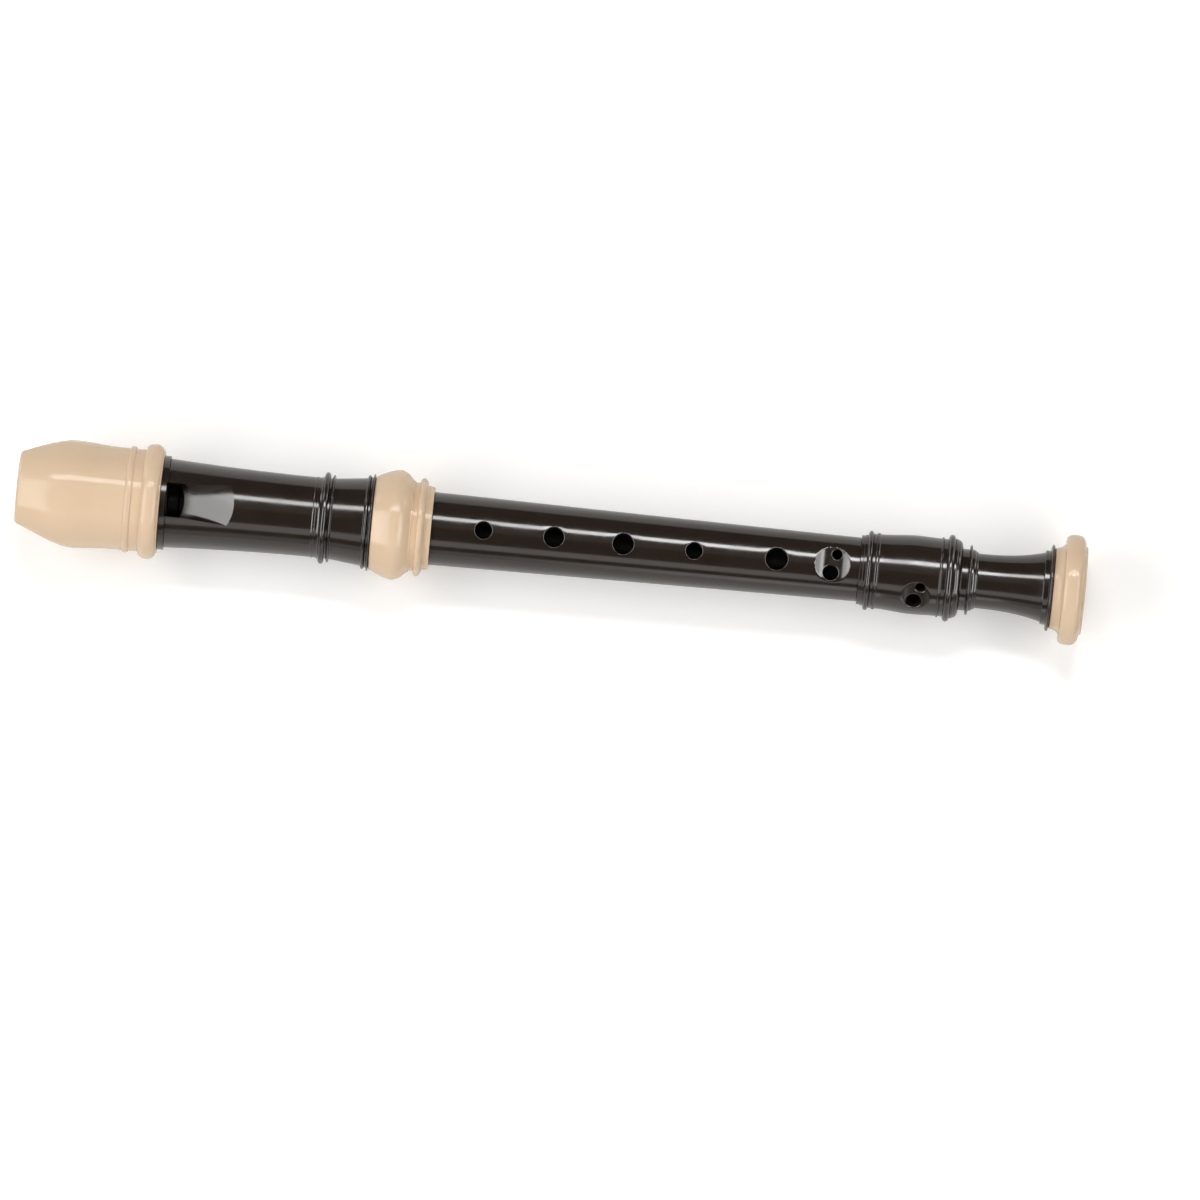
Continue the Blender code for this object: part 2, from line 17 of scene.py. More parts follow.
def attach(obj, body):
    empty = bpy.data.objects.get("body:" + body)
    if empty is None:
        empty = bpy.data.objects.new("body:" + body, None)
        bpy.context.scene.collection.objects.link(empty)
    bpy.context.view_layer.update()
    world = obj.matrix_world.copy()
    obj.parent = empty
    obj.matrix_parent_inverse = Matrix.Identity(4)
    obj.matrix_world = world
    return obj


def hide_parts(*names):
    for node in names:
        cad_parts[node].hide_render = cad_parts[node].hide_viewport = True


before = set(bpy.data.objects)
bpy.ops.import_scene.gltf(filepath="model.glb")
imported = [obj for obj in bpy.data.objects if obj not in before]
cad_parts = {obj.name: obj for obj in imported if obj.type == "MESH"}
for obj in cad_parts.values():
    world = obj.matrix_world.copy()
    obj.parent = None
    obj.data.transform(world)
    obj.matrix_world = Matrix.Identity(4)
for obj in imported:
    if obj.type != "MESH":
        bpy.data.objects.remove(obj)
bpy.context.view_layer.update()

bl_info = {
    "name": "Sopranino Recorder",
    "version": (1, 0, 0),
    "blender": (4, 5, 0),
    "location": "3D View > Sidebar > Recorder",
    "description": "Builds a moulded sopranino recorder piece by piece, with its studio",
    "category": "Add Mesh",
}

# Fits
SEAT_GAP = 0.00025      # between faces that seat on each other
FIT = 0.0002            # around a piece inside another
SEAT_LINE = 0.00005     # line left between seated faces

# Mouthpiece cap
CAP_LENGTH = 0.0334
TIP_RADIUS = 0.0099
TIP_ROUNDING = 0.0011               # 0.0007 on the solid; softer here, as photographed
CAP_RADIUS = 0.01258
CAP_SWELL = 0.0127      # tip to the widest place
CAP_TAPER = 1.62        # 1 is straight
CAP_WAIST_RADIUS = 0.01195
CAP_NECK = 0.0016       # level stretch above the ring
CAP_RING = (0.0016, 0.00055)        # width and height
CAP_BEAD = (0.0042, 0.0015)
CAP_RING_TO_BEAD = 0.0021
CAP_RIM = 0.0002
BEAK_HOLLOW_RADIUS = 0.0291         # hollow of the lip side
BEAK_HOLLOW_LENGTH = 0.023
BEAK_THICKNESS = 0.0094             # at the tip
BEAK_CENTRE = 0.0015                # how softly the sections' centre leaves the axis
BEAK_ARCH = 0.0094                  # radius across the lip side at the tip
BEAK_ARCH_FADE = 1.5                # power of its fading towards the end
BEAK_EDGE = 0.0007                  # rounding of its edges, which the solid leaves out
CAP_WALL = 0.0012
CAP_BORE = 0.0074

# Windway sleeve and block
COLLAR_RADIUS = 0.011
COLLAR_WIDTH = 0.00125
SPIGOT_LENGTH = 0.0024
HEAD_BORE = 0.0052
WINDWAY_ENTRY = (0.0095, 0.00105)   # width and height
WINDWAY_EXIT = (0.008, 0.00085)
BLOCK_CHAMFER = 0.0003

# Window
WINDOW_LENGTH = 0.0042              # collar to lip
WINDOW_RELIEF = 0.0001              # cut into the collar's face
RAMP_LENGTH = 0.0118
RAMP_END_WIDTH = 0.0097
RAMP_RUN_OUT = 0.00035              # height over the barrel at its end
LIP_THICKNESS = 0.00035
LIP_BULGE = 0.00115                 # towards the foot, at the middle
LIP_LEAN = 0.0001                   # of the lip's face, out from its inner edge
# The solid's lip is arched to a radius of 6.4 mm and its ramp runs straight. Here the lip
# is flatter and the ramp dips by 0.15 mm, as its even light in the photograph asks for.
LIP_ARCH = 0.013                    # radius across the ramp at the lip
RAMP_ARCH = 0.018                   # radius across the ramp at its end
RAMP_HOLLOW = 0.0006                # four times how far its middle dips

# Head barrel
BARREL_LENGTH = 0.04785
BARREL_TOP_RADIUS = 0.0104
BARREL_WAIST_RADIUS = 0.00937
BARREL_TAPER = 1.9                  # 1 is straight
BARREL_MOULDING = 0.0138            # length of the mouldings at the lower end
BARREL_LINE = (0.0007, 0.00013)
BARREL_LINE_GAP = 0.00015
BARREL_COVE = (0.0011, 0.0007)
BARREL_BEAD = (0.00135, 0.0007)
BARREL_NECK = (0.0005, 0.0001)
BARREL_FILLET = (0.0007, 0.00085)
BARREL_RING = (0.00095, 0.00075)
BARREL_LAST_GAP = 0.0004
BARREL_LAST_RING = (0.00055, 0.00087)
BARREL_FLARE_RADIUS = 0.0103
BARREL_FLARE = 1.1                  # 1 is straight
BARREL_END_RADIUS = 0.0106

# Socket ring
RING_LENGTH = 0.01365
RING_TOP_RADIUS = 0.0109
RING_RADIUS = 0.0129
RING_RISE = 0.0053
RING_SWELL = 1.55                   # power of the rise, 1 is straight
RING_FALL = 0.0035
RING_FALL_POWER = 2.0
RING_SHOULDER_RADIUS = 0.0107
RING_SHOULDER = 0.0003
RING_GROOVE = (0.00115, 0.00032)
RING_BEAD_RISE = 0.0007             # groove to the top of the bead
RING_BEAD_RADIUS = 0.01152
RING_BEAD_FALL = 0.0012
RING_STEP = (0.0006, 0.0098)        # width and radius
RING_END_RADIUS = 0.00955
RING_BORE = 0.0087

# Middle joint
MIDDLE_LENGTH = 0.0999
MIDDLE_TOP_RADIUS = 0.00855
MIDDLE_END_RADIUS = 0.0075
MIDDLE_TAPER = 1.15                 # 1 is straight
MIDDLE_BORE_TOP = 0.0049
MIDDLE_BORE_END = 0.00375
TENON_RADIUS = 0.0074
TENON_LENGTH = 0.0151
FOOT_TENON_RADIUS = 0.0063
FOOT_TENON_LENGTH = 0.009
TENON_CHAMFER = 0.0003
GREASE_GROOVE = (0.0009, 0.0003)
GREASE_GROOVE_PITCH = 0.0022
GREASE_GROOVES = 2                  # round each tenon

# Finger holes: distance below the shoulder of the middle joint, and diameter
FINGER_HOLES = ((0.01205, 0.00395), (0.02855, 0.0046), (0.04475, 0.0048),
                (0.06135, 0.0038), (0.08065, 0.0051))
THUMB_HOLE = (0.0064, 0.0043)
SIXTH_HOLE = 0.00615                # above the lower end of the middle joint
SIXTH_SCOOP = 0.0082                # across the scooped seat
SIXTH_REACH = 0.0048                # close rows either way along the seat
SEVENTH_HOLE = 0.0135               # below the upper end of the foot
SEVENTH_TURN = math.radians(38.5)   # round towards the right hand
SEVENTH_SCOOP = 0.0072
SEVENTH_REACH = 0.0044
# Twin holes: along, across (towards the left hand), and diameter
SIXTH_TWINS = ((-0.0003, -0.0019, 0.0035), (0.00086, 0.00245, 0.0023))
SEVENTH_TWINS = ((-0.0004, -0.0016, 0.0036), (0.0009, 0.0022, 0.0024))

# Foot joint
FOOT_LENGTH = 0.0451
FOOT_STEPS = ((0.0007, 0.0081), (0.0007, 0.0083))   # width and radius
FOOT_BEAD = (0.0013, 0.00095)
FOOT_BEAD_BASE = 0.0084
FOOT_BAND = 0.0007                  # between the bead and the ring
FOOT_BAND_RADIUS = 0.0087
FOOT_RING = (0.0009, 0.0003)
BARREL_SWELL_RADIUS = 0.00923
BARREL_SWELL = 0.0084               # ring to the widest place
BARREL_FALL = 0.00585
BARREL_LOW_RADIUS = 0.0091
FOOT_LOW_RING = (0.0006, 0.00034)
FOOT_LOW_GAP = 0.00095
FOOT_BIG_BEAD = (0.0017, 0.0011)
# Rounds below the big bead and below the neck ring: length, and radius at the end
FOOT_ROUND_RADIUS = 0.00935
FOOT_ROUNDS = ((0.00075, 0.0091), (0.00115, 0.00735))
NECK_RADIUS = 0.0072
NECK_LENGTH = 0.0015
NECK_RING = (0.0008, 0.00105)
STEM_ROUNDS = ((0.0009, 0.00675), (0.00055, 0.0064))
STEM_FLARE = 2.6                    # power of the flare, 1 is straight
BELL_STEP = (0.0012, 0.00867)       # width and radius
BELL_RING_LINE = (0.0009, 0.001)
BELL_BASE_RADIUS = 0.0092
FLARE_END_RADIUS = 0.00815
BELL_SPIGOT_RADIUS = 0.007
FOOT_BORE_THROAT = 0.0035
FOOT_BORE_THROAT_AT = 0.018         # below the socket
FOOT_BORE_END = 0.0044
FOOT_BORE_FLARE = 0.007
FOOT_BORE_POWER = 2.0

# Bell ring
BELL_LENGTH = 0.00735
BELL_TOP_RADIUS = 0.0095
BELL_COVE = 0.0022
BELL_COVE_RADIUS = 0.0112
BELL_SHOULDER_RADIUS = 0.01195
BELL_RADIUS = 0.0129
BELL_RISE = 0.0019
BELL_BAND = 0.0009
BELL_FALL = 0.00195
BELL_FACE_RADIUS = 0.0102
BELL_LOW_RADIUS = 0.0104

# Places along the axis, from one piece to the next
COLLAR_START = CAP_LENGTH + SEAT_GAP
COLLAR_END = COLLAR_START + COLLAR_WIDTH
BARREL_START = COLLAR_END + SEAT_GAP
BARREL_END = BARREL_START + BARREL_LENGTH
RING_START = BARREL_END + SEAT_GAP
RING_END = RING_START + RING_LENGTH
MIDDLE_START = RING_END + SEAT_GAP
MIDDLE_END = MIDDLE_START + MIDDLE_LENGTH
FOOT_START = MIDDLE_END + SEAT_GAP
FOOT_END = FOOT_START + FOOT_LENGTH
BELL_START = FOOT_END + SEAT_GAP
TOTAL_LENGTH = BELL_START + BELL_LENGTH
AXIS_HEIGHT = CAP_WAIST_RADIUS + CAP_BEAD[1]
LIP = COLLAR_END + WINDOW_LENGTH
SLEEVE_RADIUS = CAP_BORE - FIT
BLOCK_RADIUS = HEAD_BORE - FIT
RING_SEAT_RADIUS = RING_BORE - FIT
FOOT_SOCKET_END = MIDDLE_END + FOOT_TENON_LENGTH + SEAT_GAP
STARTS = (COLLAR_START, BARREL_START, RING_START, MIDDLE_START, FOOT_START, BELL_START)
ENDS = (CAP_LENGTH, COLLAR_END, BARREL_END, RING_END, MIDDLE_END, FOOT_END)
OUTSIDE = 0.002         # how far cutters run past what they cut
WINDOW_FLOOR = HEAD_BORE / 5        # bottom of the window's cutter

# How finely the surfaces are drawn
PITCH = 0.00002                     # between the points at which an outline is read
COLUMNS = 168                       # round a turned piece
SEAT_COLUMNS = 240                  # round a piece with a scooped seat
BEND = math.radians(9)              # most that an outline turns between two rows
LONGEST = 0.003                     # most that a row is apart from the next
SEAT_ROWS = 0.0002                  # rows where a seat is scooped
SHARP = math.radians(15)            # edges that bend more than this stay crisp
STRIPS = 61                         # across a cutter
HOLE_COLUMNS = 96                   # round a finger hole
FINE = np.linspace(0.0, 1.0, 61)[1:]
# A hole's rim bends this far out, then runs on a little way just above the skin.
RIM_BEND = math.radians(83)
RIM_RUN = 0.00018
RIM_CLEAR = 0.00002

# Camera and floor
CAMERA_ALONG = 0.035                # towards the foot from the middle
AIM_ALONG = 0.0127
AIM_DROP = 0.01288                  # down the picture, below the axis
CLIP_END = 50.0
FLOOR_HALF = 6.0
FLOOR_GLOW = 0.18                   # added white that only the camera sees


def linear(code):
    """A colour written as sRGB hex, turned linear: ((c + 0.055) / 1.055) to the power 2.4."""
    channels = [int(code[i:i + 2], 16) / 255 for i in (1, 3, 5)]
    return tuple(c / 12.92 if c <= 0.04045 else ((c + 0.055) / 1.055) ** 2.4 for c in channels)


# ---------------------------------------------------------------- outlines


class Turning:
    """A turned outline of (along, radius) rows, built up from its start."""

    def __init__(self, along, radius):
        self.rows = np.array([[along, radius]])

    def add(self, run, rise):
        """A stretch of rows, each a run along and a rise from the last point."""
        self.rows = np.vstack((self.rows, self.rows[-1] + np.column_stack((run, rise))))
        return self

    def to(self, along, radius):
        self.rows = np.vstack((self.rows, (along, radius)))
        return self

    def step(self, radius):
        return self.to(self.rows[-1, 0], radius)

    def line(self, length, radius):
        return self.to(self.rows[-1, 0] + length, radius)

    def curve(self, length, radius, power, late=False):
        """A taper: the share of the change is a power of the way, from the far end unless late."""
        share = FINE ** power if late else 1 - (1 - FINE) ** power
        return self.add(length * FINE, (radius - self.rows[-1, 1]) * share)

    def ease(self, length, radius):
        """Half a cosine wave, level at both ends."""
        share = 0.5 - 0.5 * np.cos(np.pi * FINE)
        return self.add(length * FINE, (radius - self.rows[-1, 1]) * share)

    def quarter(self, length, radius, level_first=True):
        """A quarter of an ellipse that starts level with the axis, or ends level."""
        run, rise = np.sin(FINE * np.pi / 2), 1 - np.cos(FINE * np.pi / 2)
        if not level_first:
            run, rise = rise, run
        return self.add(length * run, (radius - self.rows[-1, 1]) * rise)

    def bead(self, size):
        """Half an ellipse of a width and a height, back to its base."""
        width, height = size
        run = 0.5 * width * (1 - np.cos(np.pi * FINE))
        return self.add(run, height * np.sin(np.pi * FINE))

    def groove(self, size):
        base = self.rows[-1, 1]
        return self.step(base - size[1]).line(size[0], base - size[1]).step(base)

    def seated(self):
        """The rows, with every face that seats on another brought nearer to it, so that
        only a fine line is left between them."""
        move = (SEAT_GAP - SEAT_LINE) / 2
        for faces, way in ((STARTS, -move), (ENDS, move)):
            for face in faces:
                self.rows[np.isclose(self.rows[:, 0], face, rtol=0, atol=1e-8), 0] += way
        return self.rows


def softened(outline, closed, rounding, finer=None):
    """The outline with its corners rounded as a mould leaves them. It is read at even
    steps, each row becomes the average of its neighbours under a bell curve that is
    `rounding` wide, and rows are then kept so that none bends more than BEND from the
    next. `finer` is a (start, end, spacing) along the bore that gets closer rows."""
    rows = np.vstack((outline, outline[:1])) if closed else outline
    moved = np.linalg.norm(np.diff(rows, axis=0), axis=1)
    rows = rows[np.concatenate(([True], moved > 1e-9))]
    path = np.concatenate(([0.0], np.cumsum(np.linalg.norm(np.diff(rows, axis=0), axis=1))))
    even = np.linspace(0.0, path[-1], int(path[-1] / PITCH) + 2)
    fine = np.column_stack((np.interp(even, path, rows[:, 0]), np.interp(even, path, rows[:, 1])))
    pitch = even[1]
    reach = int(3 * rounding / pitch) + 1
    bell = np.exp(-0.5 * (np.arange(-reach, reach + 1) * pitch / rounding) ** 2)
    bell /= bell.sum()
    if closed:
        padded = np.vstack((fine[-1 - reach:-1], fine, fine[1:1 + reach]))
    else:
        padded = np.vstack((2 * fine[0] - fine[reach:0:-1], fine,
                            2 * fine[-1] - fine[-2:-2 - reach:-1]))
    fine = np.column_stack([np.convolve(padded[:, i], bell, "valid") for i in (0, 1)])
    heading = np.unwrap(np.arctan2(np.gradient(fine[:, 1]), np.gradient(fine[:, 0])))
    spacing = np.full(len(fine), LONGEST)
    if finer:
        spacing[(fine[:, 0] > finer[0]) & (fine[:, 0] < finer[1])] = finer[2]
    share = np.abs(np.diff(heading)) / BEND + pitch / spacing[1:]
    count = np.concatenate(([0.0], np.cumsum(share)))
    kept = np.linspace(0.0, count[-1], int(count[-1]) + 2)
    at = np.interp(kept, count, even)
    picked = np.column_stack([np.interp(at, even, fine[:, i]) for i in (0, 1)])
    return picked[:-1] if closed else picked


# ---------------------------------------------------------------- surfaces


def lesser(a, b, soft):
    """The lesser of two values, with the corner between them rounded over `soft`."""
    share = np.clip(0.5 + 0.5 * (b - a) / soft, 0.0, 1.0)
    return b + (a - b) * share - soft * share * (1 - share)


def piece(name, points, faces):
    """An object at the origin for points given about the bore's axis. Doubled points
    are merged, so poles and seams close, and the faces then turned outwards."""
    placed = points.reshape(-1, 3) + (-TOTAL_LENGTH / 2, 0.0, AXIS_HEIGHT)
    mesh = bpy.data.meshes.new(name)
    mesh.from_pydata(placed, [], faces)
    bm = bmesh.new()
    bm.from_mesh(mesh)
    bmesh.ops.remove_doubles(bm, verts=bm.verts, dist=1e-7)
    bmesh.ops.recalc_face_normals(bm, faces=bm.faces)
    bm.to_mesh(mesh)
    bm.free()
    made = bpy.data.objects.new(name, mesh)
    bpy.context.scene.collection.objects.link(made)
    return made


def wrapped(name, grid, closed=False, lids=False):
    """A surface over a grid of rows and columns that is closed round its columns, and
    round its rows too when closed. Otherwise its first and last rows are poles, or get
    a flat face each when lids."""
    index = np.arange(grid.shape[0] * grid.shape[1]).reshape(grid.shape[:2])
    if closed:
        index = np.vstack((index, index[:1]))
    near, far = index[:-1], index[1:]
    quads = np.stack((near, np.roll(near, -1, 1), np.roll(far, -1, 1), far), axis=-1)
    faces = quads.reshape(-1, 4).tolist()
    if lids:
        faces += [index[0].tolist(), index[-1].tolist()]
    return piece(name, grid, faces)


def seat_radius(along, angle, radius, seat):
    """Radius of the skin where a finger seat is scooped into it: the rounded lesser of
    the turned radius and a crosswise cylinder, as far from the axis as the tube is thick.
    Its height over the seat's middle is read along the ray at that angle."""
    place, turn, outer, width, soft = seat
    depth = outer - math.sqrt(outer ** 2 - (width / 2) ** 2)
    run = np.clip(np.abs(along - place), 0.0, 0.98 * outer)     # the cylinder ends here
    height = 2 * outer - depth - np.sqrt(outer ** 2 - run ** 2)
    scooped = height / np.maximum(np.cos(angle + turn), 0.2)
    return lesser(radius, scooped, soft)


def turned(name, outline, closed, columns=COLUMNS, seat=None):
    """The outline carried round the axis: a row's point at an angle is its radius times
    the sine and cosine of it, and a seat draws the radius in."""
    angle = np.linspace(0.0, 2 * np.pi, columns, endpoint=False)[None, :]
    along, radius = np.broadcast_arrays(outline[:, :1], outline[:, 1:] + 0 * angle)
    if seat:
        radius = seat_radius(along, angle, radius, seat)
    grid = np.stack((along, radius * np.sin(angle), radius * np.cos(angle)), axis=-1)
    return wrapped(name, grid, closed)


def beak_floor(along, depth):
    """Height of the lip side's hollow: a circle through the tip and the hollow's end,
    its centre below, grown by depth."""
    lip, rim = TIP_RADIUS - BEAK_THICKNESS, -CAP_RADIUS
    chord = math.hypot(BEAK_HOLLOW_LENGTH, rim - lip)
    sag = math.sqrt(BEAK_HOLLOW_RADIUS ** 2 - (chord / 2) ** 2)
    centre = (BEAK_HOLLOW_LENGTH / 2 + sag * (rim - lip) / chord,
              (lip + rim) / 2 - sag * BEAK_HOLLOW_LENGTH / chord)
    under = (BEAK_HOLLOW_RADIUS + depth) ** 2 - (along - centre[0]) ** 2
    return centre[1] + np.sqrt(np.maximum(under, 0.0))


def beak_arch(along):
    """How fast the lip side rises with the square of the distance from its middle: most
    at the tip, and nothing at the hollow's end."""
    return np.clip(1 - along / BEAK_HOLLOW_LENGTH, 0.0, 1.0) ** BEAK_ARCH_FADE / (2 * BEAK_ARCH)


def beak_grid(along, radius, share, depth, soft):
    """Sections that are round above and arched below. From a centre between the floor's
    middle and the top, each ray runs to the rounded lesser of its reach to the circle and
    its reach to the floor, times share. The floor is a parabola, so its reach is the
    root of a quadratic: 2 drop / (sqrt(sine^2 + 4 arch cosine^2 drop) - sine)."""
    along, radius, share = along[:, None], radius[:, None], share[:, None]
    floor = beak_floor(along, depth[:, None])
    middle = 0.5 * (floor + radius)
    centre = 0.5 * (middle + np.sqrt(middle ** 2 + BEAK_CENTRE ** 2))
    angle = np.linspace(0.0, 2 * np.pi, SEAT_COLUMNS, endpoint=False)[None, :]
    sine, cosine = np.sin(angle), np.cos(angle)
    to_circle = np.sqrt(radius ** 2 - (centre * cosine) ** 2) - centre * sine
    drop = np.maximum(centre - floor, 0.0)
    root = np.sqrt(sine ** 2 + 4 * beak_arch(along) * cosine ** 2 * drop)
    to_floor = 2 * drop / np.maximum(root - sine, 0.02)
    ray = lesser(to_circle, to_floor, soft) * share
    return np.stack((along + 0 * ray, ray * cosine, centre + ray * sine), axis=-1)


# ---------------------------------------------------------------- cutters


def carve(body, cutters):
    """Takes the cutters out of the body and keeps the result as its mesh."""
    for cutter in cutters:
        modifier = body.modifiers.new(cutter.name, "BOOLEAN")
        modifier.operation = "DIFFERENCE"
        modifier.solver = "EXACT"
        modifier.object = cutter
    graph = bpy.context.evaluated_depsgraph_get()
    mesh = bpy.data.meshes.new_from_object(body.evaluated_get(graph))
    if len(mesh.polygons) == 0:
        raise RuntimeError(f"nothing is left of {body.name} after its cuts")
    body.modifiers.clear()
    body.data = mesh
    for cutter in cutters:
        bpy.data.objects.remove(cutter, do_unlink=True)


def hole_cutter(name, place, outline, rim, seat=None):
    """Cutter for a finger hole with a rounded rim. Round the hole's own axis, a section
    goes up the straight wall, out along a quarter circle whose depth is measured under
    the skin, and on just above the skin, so that the two meet almost level."""
    along, across, diameter, turn = place
    skin = outline[:np.argmax(outline[:, 0]) + 1]
    bend = np.linspace(0.0, RIM_BEND, 10)
    out = rim * (1 - np.cos(bend))
    deep = rim * (1 - np.sin(bend))
    out = np.concatenate((out, [out[-1] + RIM_RUN], [out[-1] + RIM_RUN]))[:, None]
    deep = np.concatenate((deep, [deep[-1] - RIM_CLEAR], [-OUTSIDE]))[:, None]
    angle = np.linspace(0.0, 2 * np.pi, HOLE_COLUMNS, endpoint=False)[None, :]
    x = along + (diameter / 2 + out) * np.cos(angle)
    y = across + (diameter / 2 + out) * np.sin(angle)
    radius = np.interp(x, skin[:, 0], skin[:, 1])
    z = np.sqrt(radius ** 2 - y ** 2)
    if seat:
        local = (seat[0], 0.0) + seat[2:]
        for _ in range(6):
            held = seat_radius(x, np.arctan2(y, z), radius, local)
            z = np.sqrt(held ** 2 - y ** 2)
    z = z - deep
    grid = np.stack((x, y, z), axis=-1)
    floor = grid[:1] * (1, 1, 0)
    low = floor.mean(1, keepdims=True) + 0 * floor
    top = grid[-1:].mean(1, keepdims=True) + 0 * floor
    grid = np.concatenate((low, floor, grid, top))
    turned_grid = grid @ np.array(Matrix.Rotation(turn, 3, "X")).T
    return wrapped(name, turned_grid)


def hollow_cutter(name, depth):
    """Cutter for the space under the beak, its roof the lip side's floor grown by depth."""
    along = np.linspace(-OUTSIDE, BEAK_HOLLOW_LENGTH + 2 * OUTSIDE, 81)[None, :]
    across = np.linspace(-1.5 * CAP_RADIUS, 1.5 * CAP_RADIUS, STRIPS)[:, None]
    roof = np.maximum(beak_floor(along, depth), -CAP_RADIUS - OUTSIDE)
    roof = roof + beak_arch(along) * across ** 2
    grid = np.stack(np.broadcast_arrays(along, across, roof), axis=-1)
    low = grid[:, [-1, 0]] * (1, 1, 0) - (0, 0, 2 * CAP_RADIUS)
    return wrapped(name, np.concatenate((grid, low), axis=1), lids=True)


def windway_cutter():
    """Cutter for the arched slit over the block: a strip between the block's radius and
    the roof's, narrower and lower towards the window."""
    ends = []
    for along, (width, height) in ((-OUTSIDE, WINDWAY_ENTRY), (COLLAR_END + OUTSIDE, WINDWAY_EXIT)):
        roof = BLOCK_RADIUS + height
        reach = math.asin(width / 2 / roof)
        angle = np.linspace(-reach, reach, 41)
        radius = np.repeat((roof, HEAD_BORE - OUTSIDE), len(angle))
        angle = np.concatenate((angle, angle[::-1]))
        ends.append(np.column_stack((np.full_like(angle, along), radius * np.sin(angle),
                                     radius * np.cos(angle))))
    return wrapped("windway_cutter", np.stack(ends), lids=True)


def window_cutter(sizes):
    """Cutter for the window and the ramp. The ramp's height is the lip's plus a straight
    rise that dips slightly in the middle, less half its arch's curvature times the width
    squared; the arch flattens from the lip to the ramp's end, and the lip's line bulges by
    the square of the width."""
    columns = np.linspace(-1.0, 1.0, STRIPS)
    half = WINDWAY_EXIT[0] / 2
    top = BARREL_TOP_RADIUS + OUTSIDE
    lip_height = HEAD_BORE + sizes.lip_thickness
    rise = (BARREL_WAIST_RADIUS + RAMP_RUN_OUT - lip_height) / RAMP_LENGTH
    lip = LIP - LIP_BULGE * columns ** 2

    def ramp(along, across):
        way = np.clip((along - LIP) / RAMP_LENGTH, 0.0, 1.0)
        arch = 1 / LIP_ARCH + (1 / RAMP_ARCH - 1 / LIP_ARCH) * way
        line = lip_height + rise * (along - LIP) - RAMP_HOLLOW * way * (1.0 - way)
        return line - 0.5 * arch * across ** 2

    way = np.linspace(0.0, 1.0, 71)[:, None]
    along = lip + (LIP + RAMP_LENGTH + OUTSIDE - lip) * way
    spread = np.maximum(along - LIP, 0.0) / RAMP_LENGTH
    across = columns * (half + (sizes.ramp_end_width / 2 - half) * spread)
    slope = np.stack((along, across, ramp(along, across)), axis=-1)
    low = np.full(STRIPS, WINDOW_FLOOR)
    back = np.column_stack((np.full(STRIPS, COLLAR_END - WINDOW_RELIEF), half * columns, low))
    under = np.column_stack((lip - LIP_LEAN, half * columns, low))
    grid = np.concatenate((back[None], under[None], slope))
    lid = grid[:, ::-1] * (1, 1, 0) + (0, 0, top)
    return wrapped("window_cutter", np.concatenate((grid, lid), axis=1), lids=True)


# ---------------------------------------------------------------- outlines of the pieces


def cap_outline():
    path = Turning(0.0, CAP_BORE).step(TIP_RADIUS - TIP_ROUNDING)
    path.quarter(TIP_ROUNDING, TIP_RADIUS, level_first=False)
    path.curve(CAP_SWELL - TIP_ROUNDING, CAP_RADIUS, CAP_TAPER)
    mouldings = CAP_NECK + CAP_RING[0] + CAP_RING_TO_BEAD + CAP_BEAD[0] + CAP_RIM
    path.ease(CAP_LENGTH - mouldings - CAP_SWELL, CAP_WAIST_RADIUS)
    path.line(CAP_NECK, CAP_WAIST_RADIUS).bead(CAP_RING)
    path.line(CAP_RING_TO_BEAD, CAP_WAIST_RADIUS).bead(CAP_BEAD)
    return path.line(CAP_RIM, CAP_WAIST_RADIUS).step(CAP_BORE).seated()


def sleeve_outline():
    path = Turning(0.0, SLEEVE_RADIUS).to(COLLAR_START, SLEEVE_RADIUS).step(COLLAR_RADIUS)
    path.line(COLLAR_WIDTH, COLLAR_RADIUS).step(SLEEVE_RADIUS)
    return path.line(SPIGOT_LENGTH, SLEEVE_RADIUS).step(HEAD_BORE).to(0.0, HEAD_BORE).seated()


def block_outline():
    path = Turning(0.0, 0.0).step(BLOCK_RADIUS).to(COLLAR_END - BLOCK_CHAMFER, BLOCK_RADIUS)
    return path.line(BLOCK_CHAMFER, BLOCK_RADIUS - BLOCK_CHAMFER).step(0.0).rows


def barrel_outline():
    path = Turning(BARREL_START, BARREL_TOP_RADIUS)
    path.curve(BARREL_LENGTH - BARREL_MOULDING, BARREL_WAIST_RADIUS, BARREL_TAPER)
    path.bead(BARREL_LINE).line(BARREL_LINE_GAP, BARREL_WAIST_RADIUS)
    path.quarter(BARREL_COVE[0], BARREL_WAIST_RADIUS + BARREL_COVE[1])
    neck = BARREL_WAIST_RADIUS + BARREL_NECK[1]
    path.bead(BARREL_BEAD).step(neck).line(BARREL_NECK[0], neck).bead(BARREL_FILLET)
    rest = BARREL_END - BARREL_LAST_RING[0] - BARREL_LAST_GAP - BARREL_RING[0]
    path.curve(rest - path.rows[-1, 0], BARREL_FLARE_RADIUS, BARREL_FLARE, late=True)
    path.bead(BARREL_RING).step(BARREL_END_RADIUS)
    path.line(BARREL_LAST_GAP, BARREL_END_RADIUS).bead(BARREL_LAST_RING)
    path.step(RING_SEAT_RADIUS).to(RING_END, RING_SEAT_RADIUS).step(TENON_RADIUS + FIT)
    path.to(MIDDLE_START - TENON_LENGTH - SEAT_GAP, TENON_RADIUS + FIT).step(HEAD_BORE)
    seat = COLLAR_END + SPIGOT_LENGTH + SEAT_GAP
    return path.to(seat, HEAD_BORE).step(CAP_BORE).to(BARREL_START, CAP_BORE).seated()


